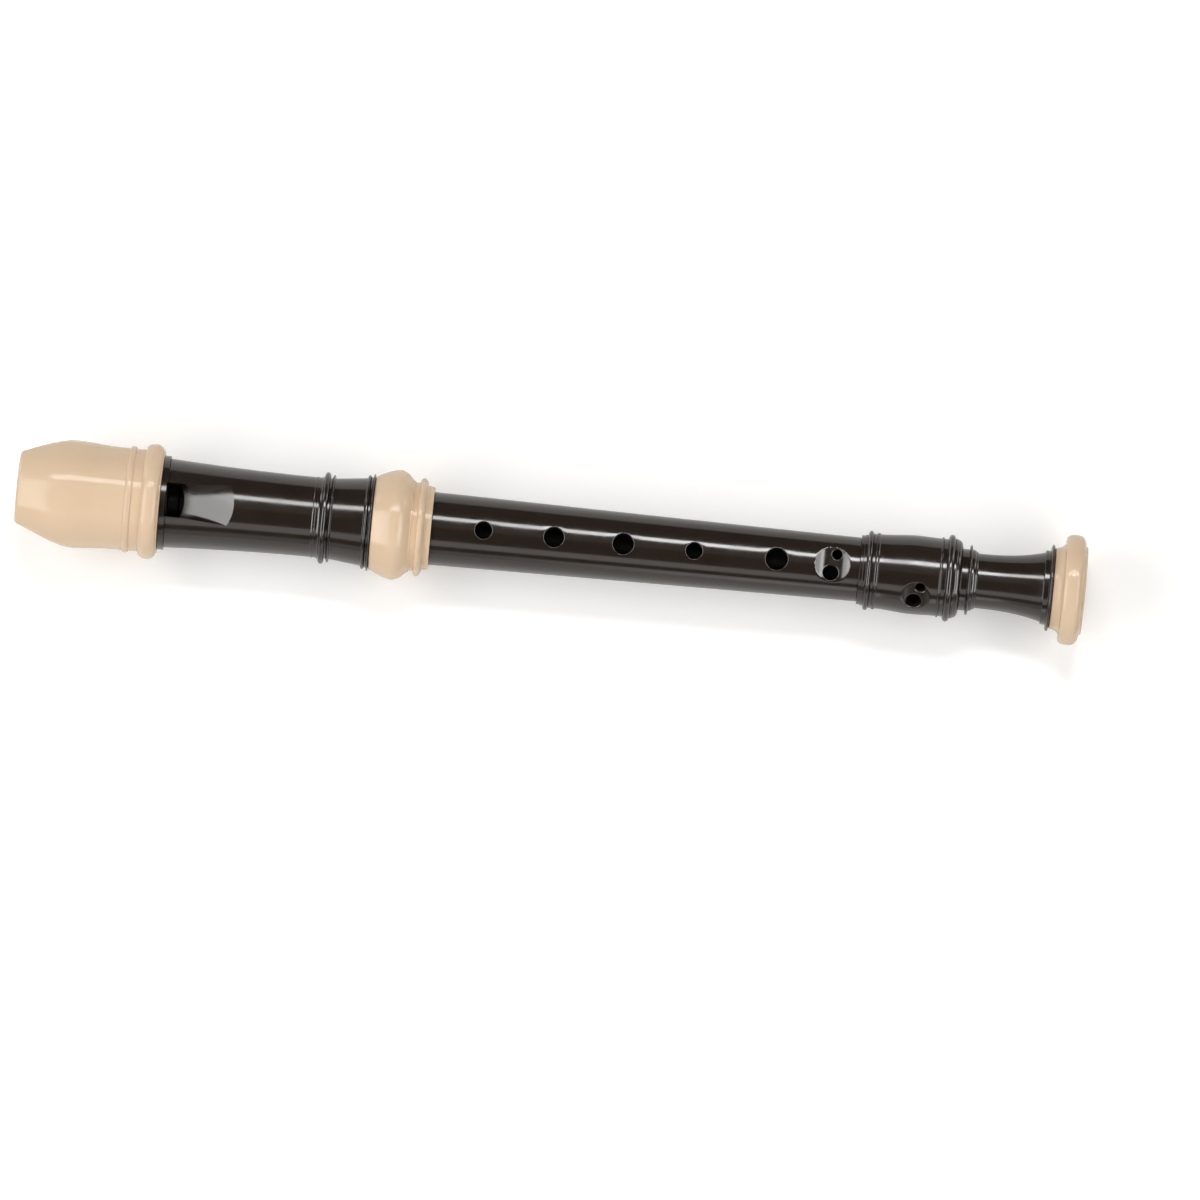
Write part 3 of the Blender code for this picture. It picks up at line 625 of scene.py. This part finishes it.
def socket_ring_outline():
    path = Turning(RING_START, RING_TOP_RADIUS)
    path.curve(RING_RISE, RING_RADIUS, RING_SWELL)
    path.curve(RING_FALL, RING_SHOULDER_RADIUS, RING_FALL_POWER, late=True)
    path.line(RING_SHOULDER, RING_SHOULDER_RADIUS).step(RING_SHOULDER_RADIUS - RING_GROOVE[1])
    path.line(RING_GROOVE[0], RING_SHOULDER_RADIUS - RING_GROOVE[1])
    path.quarter(RING_BEAD_RISE, RING_BEAD_RADIUS, level_first=False)
    path.quarter(RING_BEAD_FALL, RING_STEP[1]).line(*RING_STEP).to(RING_END, RING_END_RADIUS)
    return path.step(RING_BORE).to(RING_START, RING_BORE).seated()


def middle_outline():
    path = Turning(MIDDLE_START - TENON_LENGTH, TENON_RADIUS - TENON_CHAMFER)
    path.line(TENON_CHAMFER, TENON_RADIUS)
    for _ in range(GREASE_GROOVES):
        path.line(GREASE_GROOVE_PITCH - GREASE_GROOVE[0], TENON_RADIUS).groove(GREASE_GROOVE)
    path.to(MIDDLE_START, TENON_RADIUS).step(MIDDLE_TOP_RADIUS)
    path.curve(MIDDLE_LENGTH, MIDDLE_END_RADIUS, MIDDLE_TAPER).step(FOOT_TENON_RADIUS)
    for _ in range(GREASE_GROOVES):
        path.line(GREASE_GROOVE_PITCH - GREASE_GROOVE[0], FOOT_TENON_RADIUS).groove(GREASE_GROOVE)
    end = MIDDLE_END + FOOT_TENON_LENGTH
    path.to(end - TENON_CHAMFER, FOOT_TENON_RADIUS).to(end, FOOT_TENON_RADIUS - TENON_CHAMFER)
    return path.step(MIDDLE_BORE_END).to(MIDDLE_START - TENON_LENGTH, MIDDLE_BORE_TOP).seated()


def foot_outline():
    path = Turning(FOOT_START, FOOT_STEPS[0][1])
    for width, radius in FOOT_STEPS:
        path.step(radius).line(width, radius)
    path.step(FOOT_BEAD_BASE).bead(FOOT_BEAD).step(FOOT_BAND_RADIUS)
    path.line(FOOT_BAND, FOOT_BAND_RADIUS).bead(FOOT_RING)
    path.ease(BARREL_SWELL, BARREL_SWELL_RADIUS).ease(BARREL_FALL, BARREL_LOW_RADIUS)
    path.bead(FOOT_LOW_RING).line(FOOT_LOW_GAP, BARREL_LOW_RADIUS).bead(FOOT_BIG_BEAD)
    path.step(FOOT_ROUND_RADIUS)
    for length, radius in FOOT_ROUNDS:
        path.quarter(length, radius)
    path.step(NECK_RADIUS).line(NECK_LENGTH, NECK_RADIUS).bead(NECK_RING)
    for length, radius in STEM_ROUNDS:
        path.quarter(length, radius)
    rest = FOOT_END - BELL_RING_LINE[0] - BELL_STEP[0] - path.rows[-1, 0]
    path.curve(rest, FLARE_END_RADIUS, STEM_FLARE, late=True).step(BELL_STEP[1])
    path.line(BELL_STEP[0], BELL_STEP[1]).step(BELL_BASE_RADIUS).bead(BELL_RING_LINE)
    path.step(BELL_SPIGOT_RADIUS).to(TOTAL_LENGTH, BELL_SPIGOT_RADIUS).step(FOOT_BORE_END)
    path.curve(-FOOT_BORE_FLARE, FOOT_BORE_THROAT, FOOT_BORE_POWER)
    path.to(FOOT_SOCKET_END + FOOT_BORE_THROAT_AT, FOOT_BORE_THROAT)
    path.to(FOOT_SOCKET_END, MIDDLE_BORE_END).step(FOOT_TENON_RADIUS + FIT)
    return path.to(FOOT_START, FOOT_TENON_RADIUS + FIT).seated()


def bell_ring_outline():
    path = Turning(BELL_START, BELL_TOP_RADIUS).quarter(BELL_COVE, BELL_COVE_RADIUS)
    path.step(BELL_SHOULDER_RADIUS).quarter(BELL_RISE, BELL_RADIUS, level_first=False)
    path.line(BELL_BAND, BELL_RADIUS).quarter(BELL_FALL, BELL_LOW_RADIUS)
    path.to(TOTAL_LENGTH, BELL_FACE_RADIUS).step(BELL_SPIGOT_RADIUS + FIT)
    return path.to(BELL_START, BELL_SPIGOT_RADIUS + FIT).seated()


# ---------------------------------------------------------------- finishes


def join(tree, made, **given):
    """Sets up a node. A given name that is an input takes the value, or is linked when the
    value is an output or a node's first output; any other name is a setting of the node."""
    for name, value in given.items():
        if isinstance(value, bpy.types.Node):
            value = next(output for output in value.outputs if output.enabled)
        sockets = [s for s in made.inputs if name in (s.identifier, s.name.replace(" ", "_"))]
        if not sockets:
            setattr(made, name, value)
        elif isinstance(value, bpy.types.NodeSocket):
            tree.links.new(value, sockets[0])
        else:
            sockets[0].default_value = value
    return made


def add(tree, kind, **given):
    """Adds a node with its settings and links."""
    return join(tree, tree.nodes.new("ShaderNode" + kind), **given)


# Slot: colour's name, and how the moulding was finished. The ivory's lights are fainter
# than the dark's in the photograph, so its gloss is low, and a little light passes under
# its skin and softens the shaded side. The dark skin is rubbed less evenly.
FINISHES = {
    "ivory": ("ivory", {"rough": (0.1, 0.15), "bore_rough": 0.45, "gloss": 0.17, "through": 0.08}),
    "dark": ("brown_black", {"rough": (0.11, 0.19), "bore_rough": 0.4, "gloss": 0.5, "through": 0.0}),
}


def moulded(name, colour, cloud, rough, bore_rough, gloss, through):
    """Injection-moulded ABS with a polished skin. Clouds of the second colour are the
    flow of the melt, 9 mm across; roughness drifts over 5 mm where hands have rubbed the
    polish; the skin waves very slightly over 1.6 mm, as polished mouldings do; hairlines
    3 mm long and drawn 0.2 mm wide, coarser than real ones so that they show, run along
    it. Inside the bore the skin is satin, as the core left it."""
    made = bpy.data.materials.new(name)
    made.use_nodes = True
    tree = made.node_tree
    place = add(tree, "TexCoord").outputs["Object"]

    flow = add(tree, "TexNoise", Vector=place, Scale=1 / 0.009, Detail=3.0, Distortion=0.6)
    tint = add(tree, "MapRange", Value=flow, From_Min=0.25, From_Max=0.75)
    mixed = add(tree, "Mix", data_type="RGBA", Factor_Float=tint,
                A_Color=(*colour, 1.0), B_Color=(*cloud, 1.0))

    centred = add(tree, "Mapping", Vector=place, Location=(0.0, 0.0, -AXIS_HEIGHT),
                  Scale=(0.0, 1.0, 1.0))
    radius = add(tree, "VectorMath", operation="LENGTH", Vector=centred).outputs["Value"]
    depth = add(tree, "MapRange", Value=radius, From_Min=0.0063, From_Max=0.0056)
    smudge = add(tree, "TexNoise", Vector=place, Scale=1 / 0.005, Detail=4.0, Roughness=0.6)
    skin = add(tree, "MapRange", Value=smudge, From_Min=0.3, From_Max=0.7,
               To_Min=rough[0], To_Max=rough[1])
    polish = add(tree, "Mix", data_type="FLOAT", Factor_Float=depth, A_Float=skin,
                 B_Float=bore_rough)

    wave = add(tree, "TexNoise", Vector=place, Scale=1 / 0.0016, Detail=1.0)
    waved = add(tree, "Bump", Height=wave, Strength=0.12, Distance=0.00002)
    stretched = add(tree, "Mapping", Vector=place, Scale=(1.0, 14.0, 14.0))
    lines = add(tree, "TexNoise", Vector=stretched, Scale=1 / 0.003, Detail=2.0)
    lined = add(tree, "Bump", Height=lines, Strength=0.05, Distance=0.00001, Normal=waved)

    join(tree, tree.nodes["Principled BSDF"], Base_Color=mixed, Roughness=polish, Normal=lined,
         IOR=1.53, Specular_IOR_Level=gloss, Subsurface_Weight=through,
         Subsurface_Radius=(1.0, 0.7, 0.45), Subsurface_Scale=0.0012)
    return made


def finish(made, node, body, slot, colours):
    """Gives a piece its finish and edges and its place on a body, and hides the node it stands for."""
    mesh = made.data
    mesh.shade_smooth()
    mesh.set_sharp_from_angle(angle=SHARP)
    kind, skin = FINISHES[slot]
    name = f"moulded_abs_polished_{kind}"
    if name not in bpy.data.materials:
        moulded(name, getattr(colours, kind), getattr(colours, f"{kind}_cloud"), **skin)
    mesh.materials.clear()
    mesh.materials.append(bpy.data.materials[name])
    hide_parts(node)
    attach(made, body)


# ---------------------------------------------------------------- settings


class RecorderSizes(bpy.types.PropertyGroup):
    """Sizes that may be changed without moving a joint."""

    edge_rounding: FloatProperty(
        name="Edge Rounding", description="How softly the moulded edges are rounded",
        default=0.00006, min=0.00002, max=0.0003, unit="LENGTH", precision=5)
    rim_rounding: FloatProperty(
        name="Hole Rim", description="Radius of the rounded rim of a finger hole",
        default=0.00025, min=0.00005, max=0.0006, unit="LENGTH", precision=5)
    seat_rounding: FloatProperty(
        name="Seat Rim", description="How softly a scooped seat runs into the skin",
        default=0.0001, min=0.00005, max=0.001, unit="LENGTH", precision=5)
    sixth_seat: FloatProperty(
        name="Sixth Seat", description="Width of the scooped seat of the sixth hole",
        default=SIXTH_SCOOP, min=0.006, max=0.0095, unit="LENGTH", precision=4)
    seventh_seat: FloatProperty(
        name="Seventh Seat", description="Width of the scooped seat of the seventh hole",
        default=SEVENTH_SCOOP, min=0.006, max=0.0095, unit="LENGTH", precision=4)
    lip_thickness: FloatProperty(
        name="Lip Thickness", description="Thickness of the lip's edge in the window",
        default=LIP_THICKNESS, min=0.0001, max=0.001, unit="LENGTH", precision=5)
    ramp_end_width: FloatProperty(
        name="Ramp Width", description="Width of the ramp at its end",
        default=RAMP_END_WIDTH, min=0.008, max=0.012, unit="LENGTH", precision=4)


class RecorderColours(bpy.types.PropertyGroup):
    """Colours of the mouldings and the floor."""

    ivory: FloatVectorProperty(
        name="Ivory", description="Cap and rings", subtype="COLOR", size=3,
        default=linear("#D5BC9F"), min=0.0, max=1.0)
    ivory_cloud: FloatVectorProperty(
        name="Ivory Cloud", description="Flow clouds in the cap and rings", subtype="COLOR", size=3,
        default=linear("#D2B89B"), min=0.0, max=1.0)
    brown_black: FloatVectorProperty(
        name="Brown-Black", description="Head, middle joint and foot", subtype="COLOR", size=3,
        default=linear("#231A13"), min=0.0, max=1.0)
    brown_black_cloud: FloatVectorProperty(
        name="Brown-Black Cloud", description="Flow clouds in the dark mouldings",
        subtype="COLOR", size=3, default=linear("#1D150E"), min=0.0, max=1.0)
    floor: FloatVectorProperty(
        name="Floor", description="Plain pale floor", subtype="COLOR", size=3,
        default=linear("#F8F7F5"), min=0.0, max=1.0)
    floor_mottle: FloatVectorProperty(
        name="Floor Mottle", description="Mottle in the floor's card", subtype="COLOR", size=3,
        default=linear("#F0EFED"), min=0.0, max=1.0)


class RecorderStudio(bpy.types.PropertyGroup):
    """Camera and lamps."""

    distance: FloatProperty(
        name="Camera Distance", description="From the recorder to the camera",
        default=3.0, min=0.5, max=6.0, unit="LENGTH")
    view_width: FloatProperty(
        name="View Width", description="Width of the picture at the recorder",
        default=0.28015, min=0.1, max=1.0, unit="LENGTH", precision=4)
    tilt: FloatProperty(
        name="Camera Tilt", description="How far the camera leans from straight above",
        default=math.radians(5.0), subtype="ANGLE")
    roll: FloatProperty(
        name="Camera Roll", description="How far the bore drops to the right",
        default=math.radians(5.5006), subtype="ANGLE")
    key: FloatProperty(
        name="Key Light", description="Radiance of the soft box", default=10.0, min=0.0)
    fill: FloatProperty(
        name="Fill Light", description="Radiance of the fill on the other side", default=1.1, min=0.0)
    panels: FloatProperty(
        name="End Panels", description="Radiance of the panels beyond both ends", default=5.0, min=0.0)
    surround: FloatProperty(
        name="Surround", description="Radiance of the room overhead", default=0.12, min=0.0)


# ---------------------------------------------------------------- operators


class RECORDER_OT_cap(bpy.types.Operator):
    """Make the mouthpiece cap, hollowed on the lip side"""

    bl_idname = "recorder.cap"
    bl_label = "Mouthpiece Cap"

    def execute(self, context):
        raw = cap_outline()
        rows = softened(raw, True, context.scene.recorder_sizes.edge_rounding)
        along, radius = rows.T
        outside = raw[(raw[:, 0] >= TIP_ROUNDING) & (raw[:, 1] > CAP_BORE)]
        skin = np.interp(along, outside[:, 0], outside[:, 1])
        depth = CAP_WALL * np.clip((skin - radius) / (skin - CAP_BORE), 0.0, 1.0)
        grid = beak_grid(along, radius, np.ones_like(radius), depth, BEAK_EDGE)
        made = wrapped("mouthpiece_cap", grid, closed=True)
        finish(made, "beak_cap", "head", "ivory", context.scene.recorder_colours)
        return {"FINISHED"}


class RECORDER_OT_windway(bpy.types.Operator):
    """Make the windway's sleeve and the block under it"""

    bl_idname = "recorder.windway"
    bl_label = "Windway and Block"

    def execute(self, context):
        sizes, colours = context.scene.recorder_sizes, context.scene.recorder_colours
        made = turned("windway_tube", softened(sleeve_outline(), True, sizes.edge_rounding), True)
        core = hollow_cutter("core_cutter", CAP_WALL + SEAT_GAP)
        carve(made, [core, windway_cutter(), window_cutter(sizes)])
        finish(made, "windway_sleeve", "head", "dark", colours)

        along, radius = softened(block_outline(), False, sizes.edge_rounding).T
        full = np.full_like(radius, BLOCK_RADIUS)
        depth = np.full_like(radius, CAP_WALL + SEAT_GAP)
        grid = beak_grid(along, full, radius / BLOCK_RADIUS, depth, BLOCK_CHAMFER)
        made = wrapped("windway_block", grid)
        finish(made, "block", "head", "dark", colours)
        return {"FINISHED"}


class RECORDER_OT_head(bpy.types.Operator):
    """Make the head barrel with its window, ramp and mouldings"""

    bl_idname = "recorder.head"
    bl_label = "Head Barrel"

    def execute(self, context):
        sizes = context.scene.recorder_sizes
        made = turned("head_tube", softened(barrel_outline(), True, sizes.edge_rounding), True)
        carve(made, [window_cutter(sizes)])
        finish(made, "head_barrel", "head", "dark", context.scene.recorder_colours)
        return {"FINISHED"}


class RECORDER_OT_rings(bpy.types.Operator):
    """Make the ivory-coloured rings at the socket and at the foot's end"""

    bl_idname = "recorder.rings"
    bl_label = "Ivory Rings"

    def execute(self, context):
        rounding = context.scene.recorder_sizes.edge_rounding
        for name, outline, node, body in (
                ("socket_band", socket_ring_outline(), "socket_ring", "head_ring"),
                ("bell_band", bell_ring_outline(), "bell_ring", "foot_ring")):
            made = turned(name, softened(outline, True, rounding), True)
            finish(made, node, body, "ivory", context.scene.recorder_colours)
        return {"FINISHED"}


class RECORDER_OT_middle(bpy.types.Operator):
    """Make the middle joint with its finger holes, thumb hole and tenons"""

    bl_idname = "recorder.middle"
    bl_label = "Middle Joint"

    def execute(self, context):
        sizes = context.scene.recorder_sizes
        raw = middle_outline()
        place = MIDDLE_END - SIXTH_HOLE
        fall = (MIDDLE_TOP_RADIUS - MIDDLE_END_RADIUS) * (SIXTH_HOLE / MIDDLE_LENGTH) ** MIDDLE_TAPER
        seat = (place, 0.0, MIDDLE_END_RADIUS + fall, sizes.sixth_seat, sizes.seat_rounding)
        rows = softened(raw, True, sizes.edge_rounding,
                        (place - SIXTH_REACH, place + SIXTH_REACH, SEAT_ROWS))
        made = turned("middle_tube", rows, True, SEAT_COLUMNS, seat)
        holes = [(MIDDLE_START + below, 0.0, diameter, 0.0) for below, diameter in FINGER_HOLES]
        holes.append((MIDDLE_START + THUMB_HOLE[0], 0.0, THUMB_HOLE[1], math.pi))
        cutters = [hole_cutter(f"hole_{i}", hole, raw, sizes.rim_rounding)
                   for i, hole in enumerate(holes)]
        cutters += [hole_cutter(f"twin_{i}", (place + twin[0], twin[1], twin[2], 0.0), raw,
                                sizes.rim_rounding, seat) for i, twin in enumerate(SIXTH_TWINS)]
        carve(made, cutters)
        finish(made, "middle_joint", "middle", "dark", context.scene.recorder_colours)
        return {"FINISHED"}


class RECORDER_OT_foot(bpy.types.Operator):
    """Make the foot joint with its scooped twin hole, mouldings and stem"""

    bl_idname = "recorder.foot"
    bl_label = "Foot Joint"

    def execute(self, context):
        sizes = context.scene.recorder_sizes
        raw = foot_outline()
        place = FOOT_START + SEVENTH_HOLE
        seat = (place, SEVENTH_TURN, BARREL_SWELL_RADIUS, sizes.seventh_seat, sizes.seat_rounding)
        rows = softened(raw, True, sizes.edge_rounding,
                        (place - SEVENTH_REACH, place + SEVENTH_REACH, SEAT_ROWS))
        made = turned("foot_tube", rows, True, SEAT_COLUMNS, seat)
        carve(made, [hole_cutter(f"twin_{i}", (place + twin[0], twin[1], twin[2], SEVENTH_TURN), raw,
                                 sizes.rim_rounding, seat) for i, twin in enumerate(SEVENTH_TWINS)])
        finish(made, "foot_joint", "foot", "dark", context.scene.recorder_colours)
        return {"FINISHED"}


class RECORDER_OT_stage(bpy.types.Operator):
    """Set up the floor, the lamps and the camera"""

    bl_idname = "recorder.stage"
    bl_label = "Studio"

    def execute(self, context):
        scene, studio = context.scene, context.scene.recorder_studio
        scene.view_settings.view_transform = "Standard"
        half = FLOOR_HALF
        mesh = bpy.data.meshes.new("floor")
        mesh.from_pydata([(-half, -half, 0), (half, -half, 0), (half, half, 0), (-half, half, 0)],
                         [], [(0, 1, 2, 3)])
        floor = bpy.data.objects.new("floor", mesh)
        scene.collection.objects.link(floor)
        paper = bpy.data.materials.new("matt_card_pale")
        paper.use_nodes = True
        tree = paper.node_tree
        place = add(tree, "TexCoord").outputs["Object"]
        # Card made from pulp: a faint mottle 0.9 mm across, coarser than real pulp so that
        # it can be seen at all, which the eye reads as a matt, fibrous sheet.
        mottle = add(tree, "TexNoise", Vector=place, Scale=1 / 0.0009, Detail=3.0)
        colours = scene.recorder_colours
        pulp = add(tree, "Mix", data_type="RGBA", Factor_Float=mottle,
                   A_Color=(*colours.floor, 1.0), B_Color=(*colours.floor_mottle, 1.0))
        grain = add(tree, "Bump", Height=mottle, Strength=0.1, Distance=0.00005)
        # Overexposed white, as in the photograph: only the camera sees this glow.
        camera_sees = add(tree, "LightPath").outputs["Is Camera Ray"]
        glow = add(tree, "Math", operation="MULTIPLY", Value=camera_sees, Value_001=FLOOR_GLOW)
        join(tree, tree.nodes["Principled BSDF"], Base_Color=pulp, Normal=grain, Roughness=0.9,
             Specular_IOR_Level=0.1, Emission_Color=(1.0, 1.0, 1.0, 1.0),
             Emission_Strength=glow)
        mesh.materials.append(paper)

        # Name, degrees east and north of overhead, shift east, length, width and radiance,
        # each 1 m away. The key draws the long streak, brighter towards the foot; the fills
        # draw the soft bands below it; the panels light the window's ramp and the seats.
        # Wings and cards only show in the gloss.
        lamps = (("key_strip", 0.0, 29.8, -0.105, 0.25, 0.19, studio.key),
                 ("key_end", 0.0, 29.8, 0.125, 0.21, 0.19, 1.45 * studio.key),
                 ("key_halo", 0.0, 12.0, 0.0, 0.6, 0.42, 0.018 * studio.key),
                 ("key_wing_left", 0.0, 29.8, -0.41, 0.36, 0.19, studio.key),
                 ("key_wing_right", 0.0, 29.8, 0.41, 0.36, 0.19, 1.45 * studio.key),
                 ("fill_strip", 0.0, -50.5, 0.0, 1.4, 0.33, studio.fill),
                 ("fill_low", 0.0, -82.0, -0.34, 0.72, 0.26, 0.45 * studio.fill),
                 ("fill_low_end", 0.0, -82.0, 0.32, 0.6, 0.26, 1.25 * studio.fill),
                 ("panel_left", -42.5, -16.0, 0.0, 0.28, 1.12, studio.panels),
                 ("panel_right", 43.0, -16.0, 0.0, 0.2, 1.12, 0.7 * studio.panels),
                 ("card_left", -57.2, -16.0, 0.0, 0.23, 1.12, 1.5 * studio.panels),
                 ("card_right", 43.4, -16.0, 0.0, 0.2, 1.12, 0.9 * studio.panels),
                 ("card_right_low", 56.4, -16.0, 0.0, 0.27, 1.12, 0.9 * studio.panels),
                 ("card_back_left", -53.0, 74.0, 0.0, 0.28, 0.28, studio.panels),
                 ("card_back_right", 53.0, 74.0, 0.0, 0.28, 0.28, studio.panels))
        for name, east, north, shift, long, wide, radiance in lamps:
            data = bpy.data.lights.new(name, "AREA")
            data.shape = "RECTANGLE"
            data.size, data.size_y = long, wide
            data.energy = 4 * long * wide * radiance
            lamp = bpy.data.objects.new(name, data)
            lamp.visible_diffuse = "wing" not in name and "card" not in name
            turn = Matrix.Rotation(math.radians(-north), 4, "X")
            turn = turn @ Matrix.Rotation(math.radians(east), 4, "Y")
            lamp.matrix_world = turn @ Matrix.Translation((shift, 0.0, 1.0))
            scene.collection.objects.link(lamp)

        world = bpy.data.worlds.new("studio_room")
        world.use_nodes = True
        tree = world.node_tree
        join(tree, tree.nodes["Background"], Strength=studio.surround,
             Color=(1.0, 0.99, 0.97, 1.0))
        scene.world = world

        data = bpy.data.cameras.new("camera")
        data.lens = data.sensor_width * studio.distance / studio.view_width
        data.clip_end = CLIP_END
        camera = bpy.data.objects.new("camera", data)
        scene.collection.objects.link(camera)
        up = Vector((0.0, math.cos(studio.tilt), math.sin(studio.tilt)))
        out = Vector((0.0, -math.sin(studio.tilt), math.cos(studio.tilt)))
        stand = Vector((CAMERA_ALONG, 0.0, AXIS_HEIGHT)) + studio.distance * out
        aim = Vector((AIM_ALONG, 0.0, AXIS_HEIGHT)) - AIM_DROP * up
        back = (stand - aim).normalized()
        right = Vector((math.cos(studio.roll), 0.0, 0.0)) + math.sin(studio.roll) * up
        right = (right - right.dot(back) * back).normalized()
        turn = Matrix((right, back.cross(right), back)).transposed()
        camera.matrix_world = Matrix.Translation(stand) @ turn.to_4x4()
        scene.camera = camera
        return {"FINISHED"}


class RECORDER_PT_panel(bpy.types.Panel):
    """The recorder's pieces and settings"""

    bl_label = "Sopranino Recorder"
    bl_space_type = "VIEW_3D"
    bl_region_type = "UI"
    bl_category = "Recorder"

    def draw(self, context):
        for operator in OPERATORS:
            self.layout.operator(operator.bl_idname)
        for group in SETTINGS:
            box = self.layout.box()
            settings = getattr(context.scene, group)
            for name in settings.bl_rna.properties.keys():
                if name not in ("rna_type", "name"):
                    box.prop(settings, name)


SETTINGS = {"recorder_sizes": RecorderSizes, "recorder_colours": RecorderColours,
            "recorder_studio": RecorderStudio}
OPERATORS = (RECORDER_OT_cap, RECORDER_OT_windway, RECORDER_OT_head, RECORDER_OT_rings,
             RECORDER_OT_middle, RECORDER_OT_foot, RECORDER_OT_stage)


def register():
    for kind in (*SETTINGS.values(), *OPERATORS, RECORDER_PT_panel):
        bpy.utils.register_class(kind)
    for name, group in SETTINGS.items():
        setattr(bpy.types.Scene, name, PointerProperty(type=group))


def unregister():
    for name in SETTINGS:
        delattr(bpy.types.Scene, name)
    for kind in reversed((*SETTINGS.values(), *OPERATORS, RECORDER_PT_panel)):
        bpy.utils.unregister_class(kind)


def main():
    register()
    for operator in OPERATORS:
        group, name = operator.bl_idname.split(".")
        getattr(getattr(bpy.ops, group), name)()


if __name__ == "__main__":
    main()
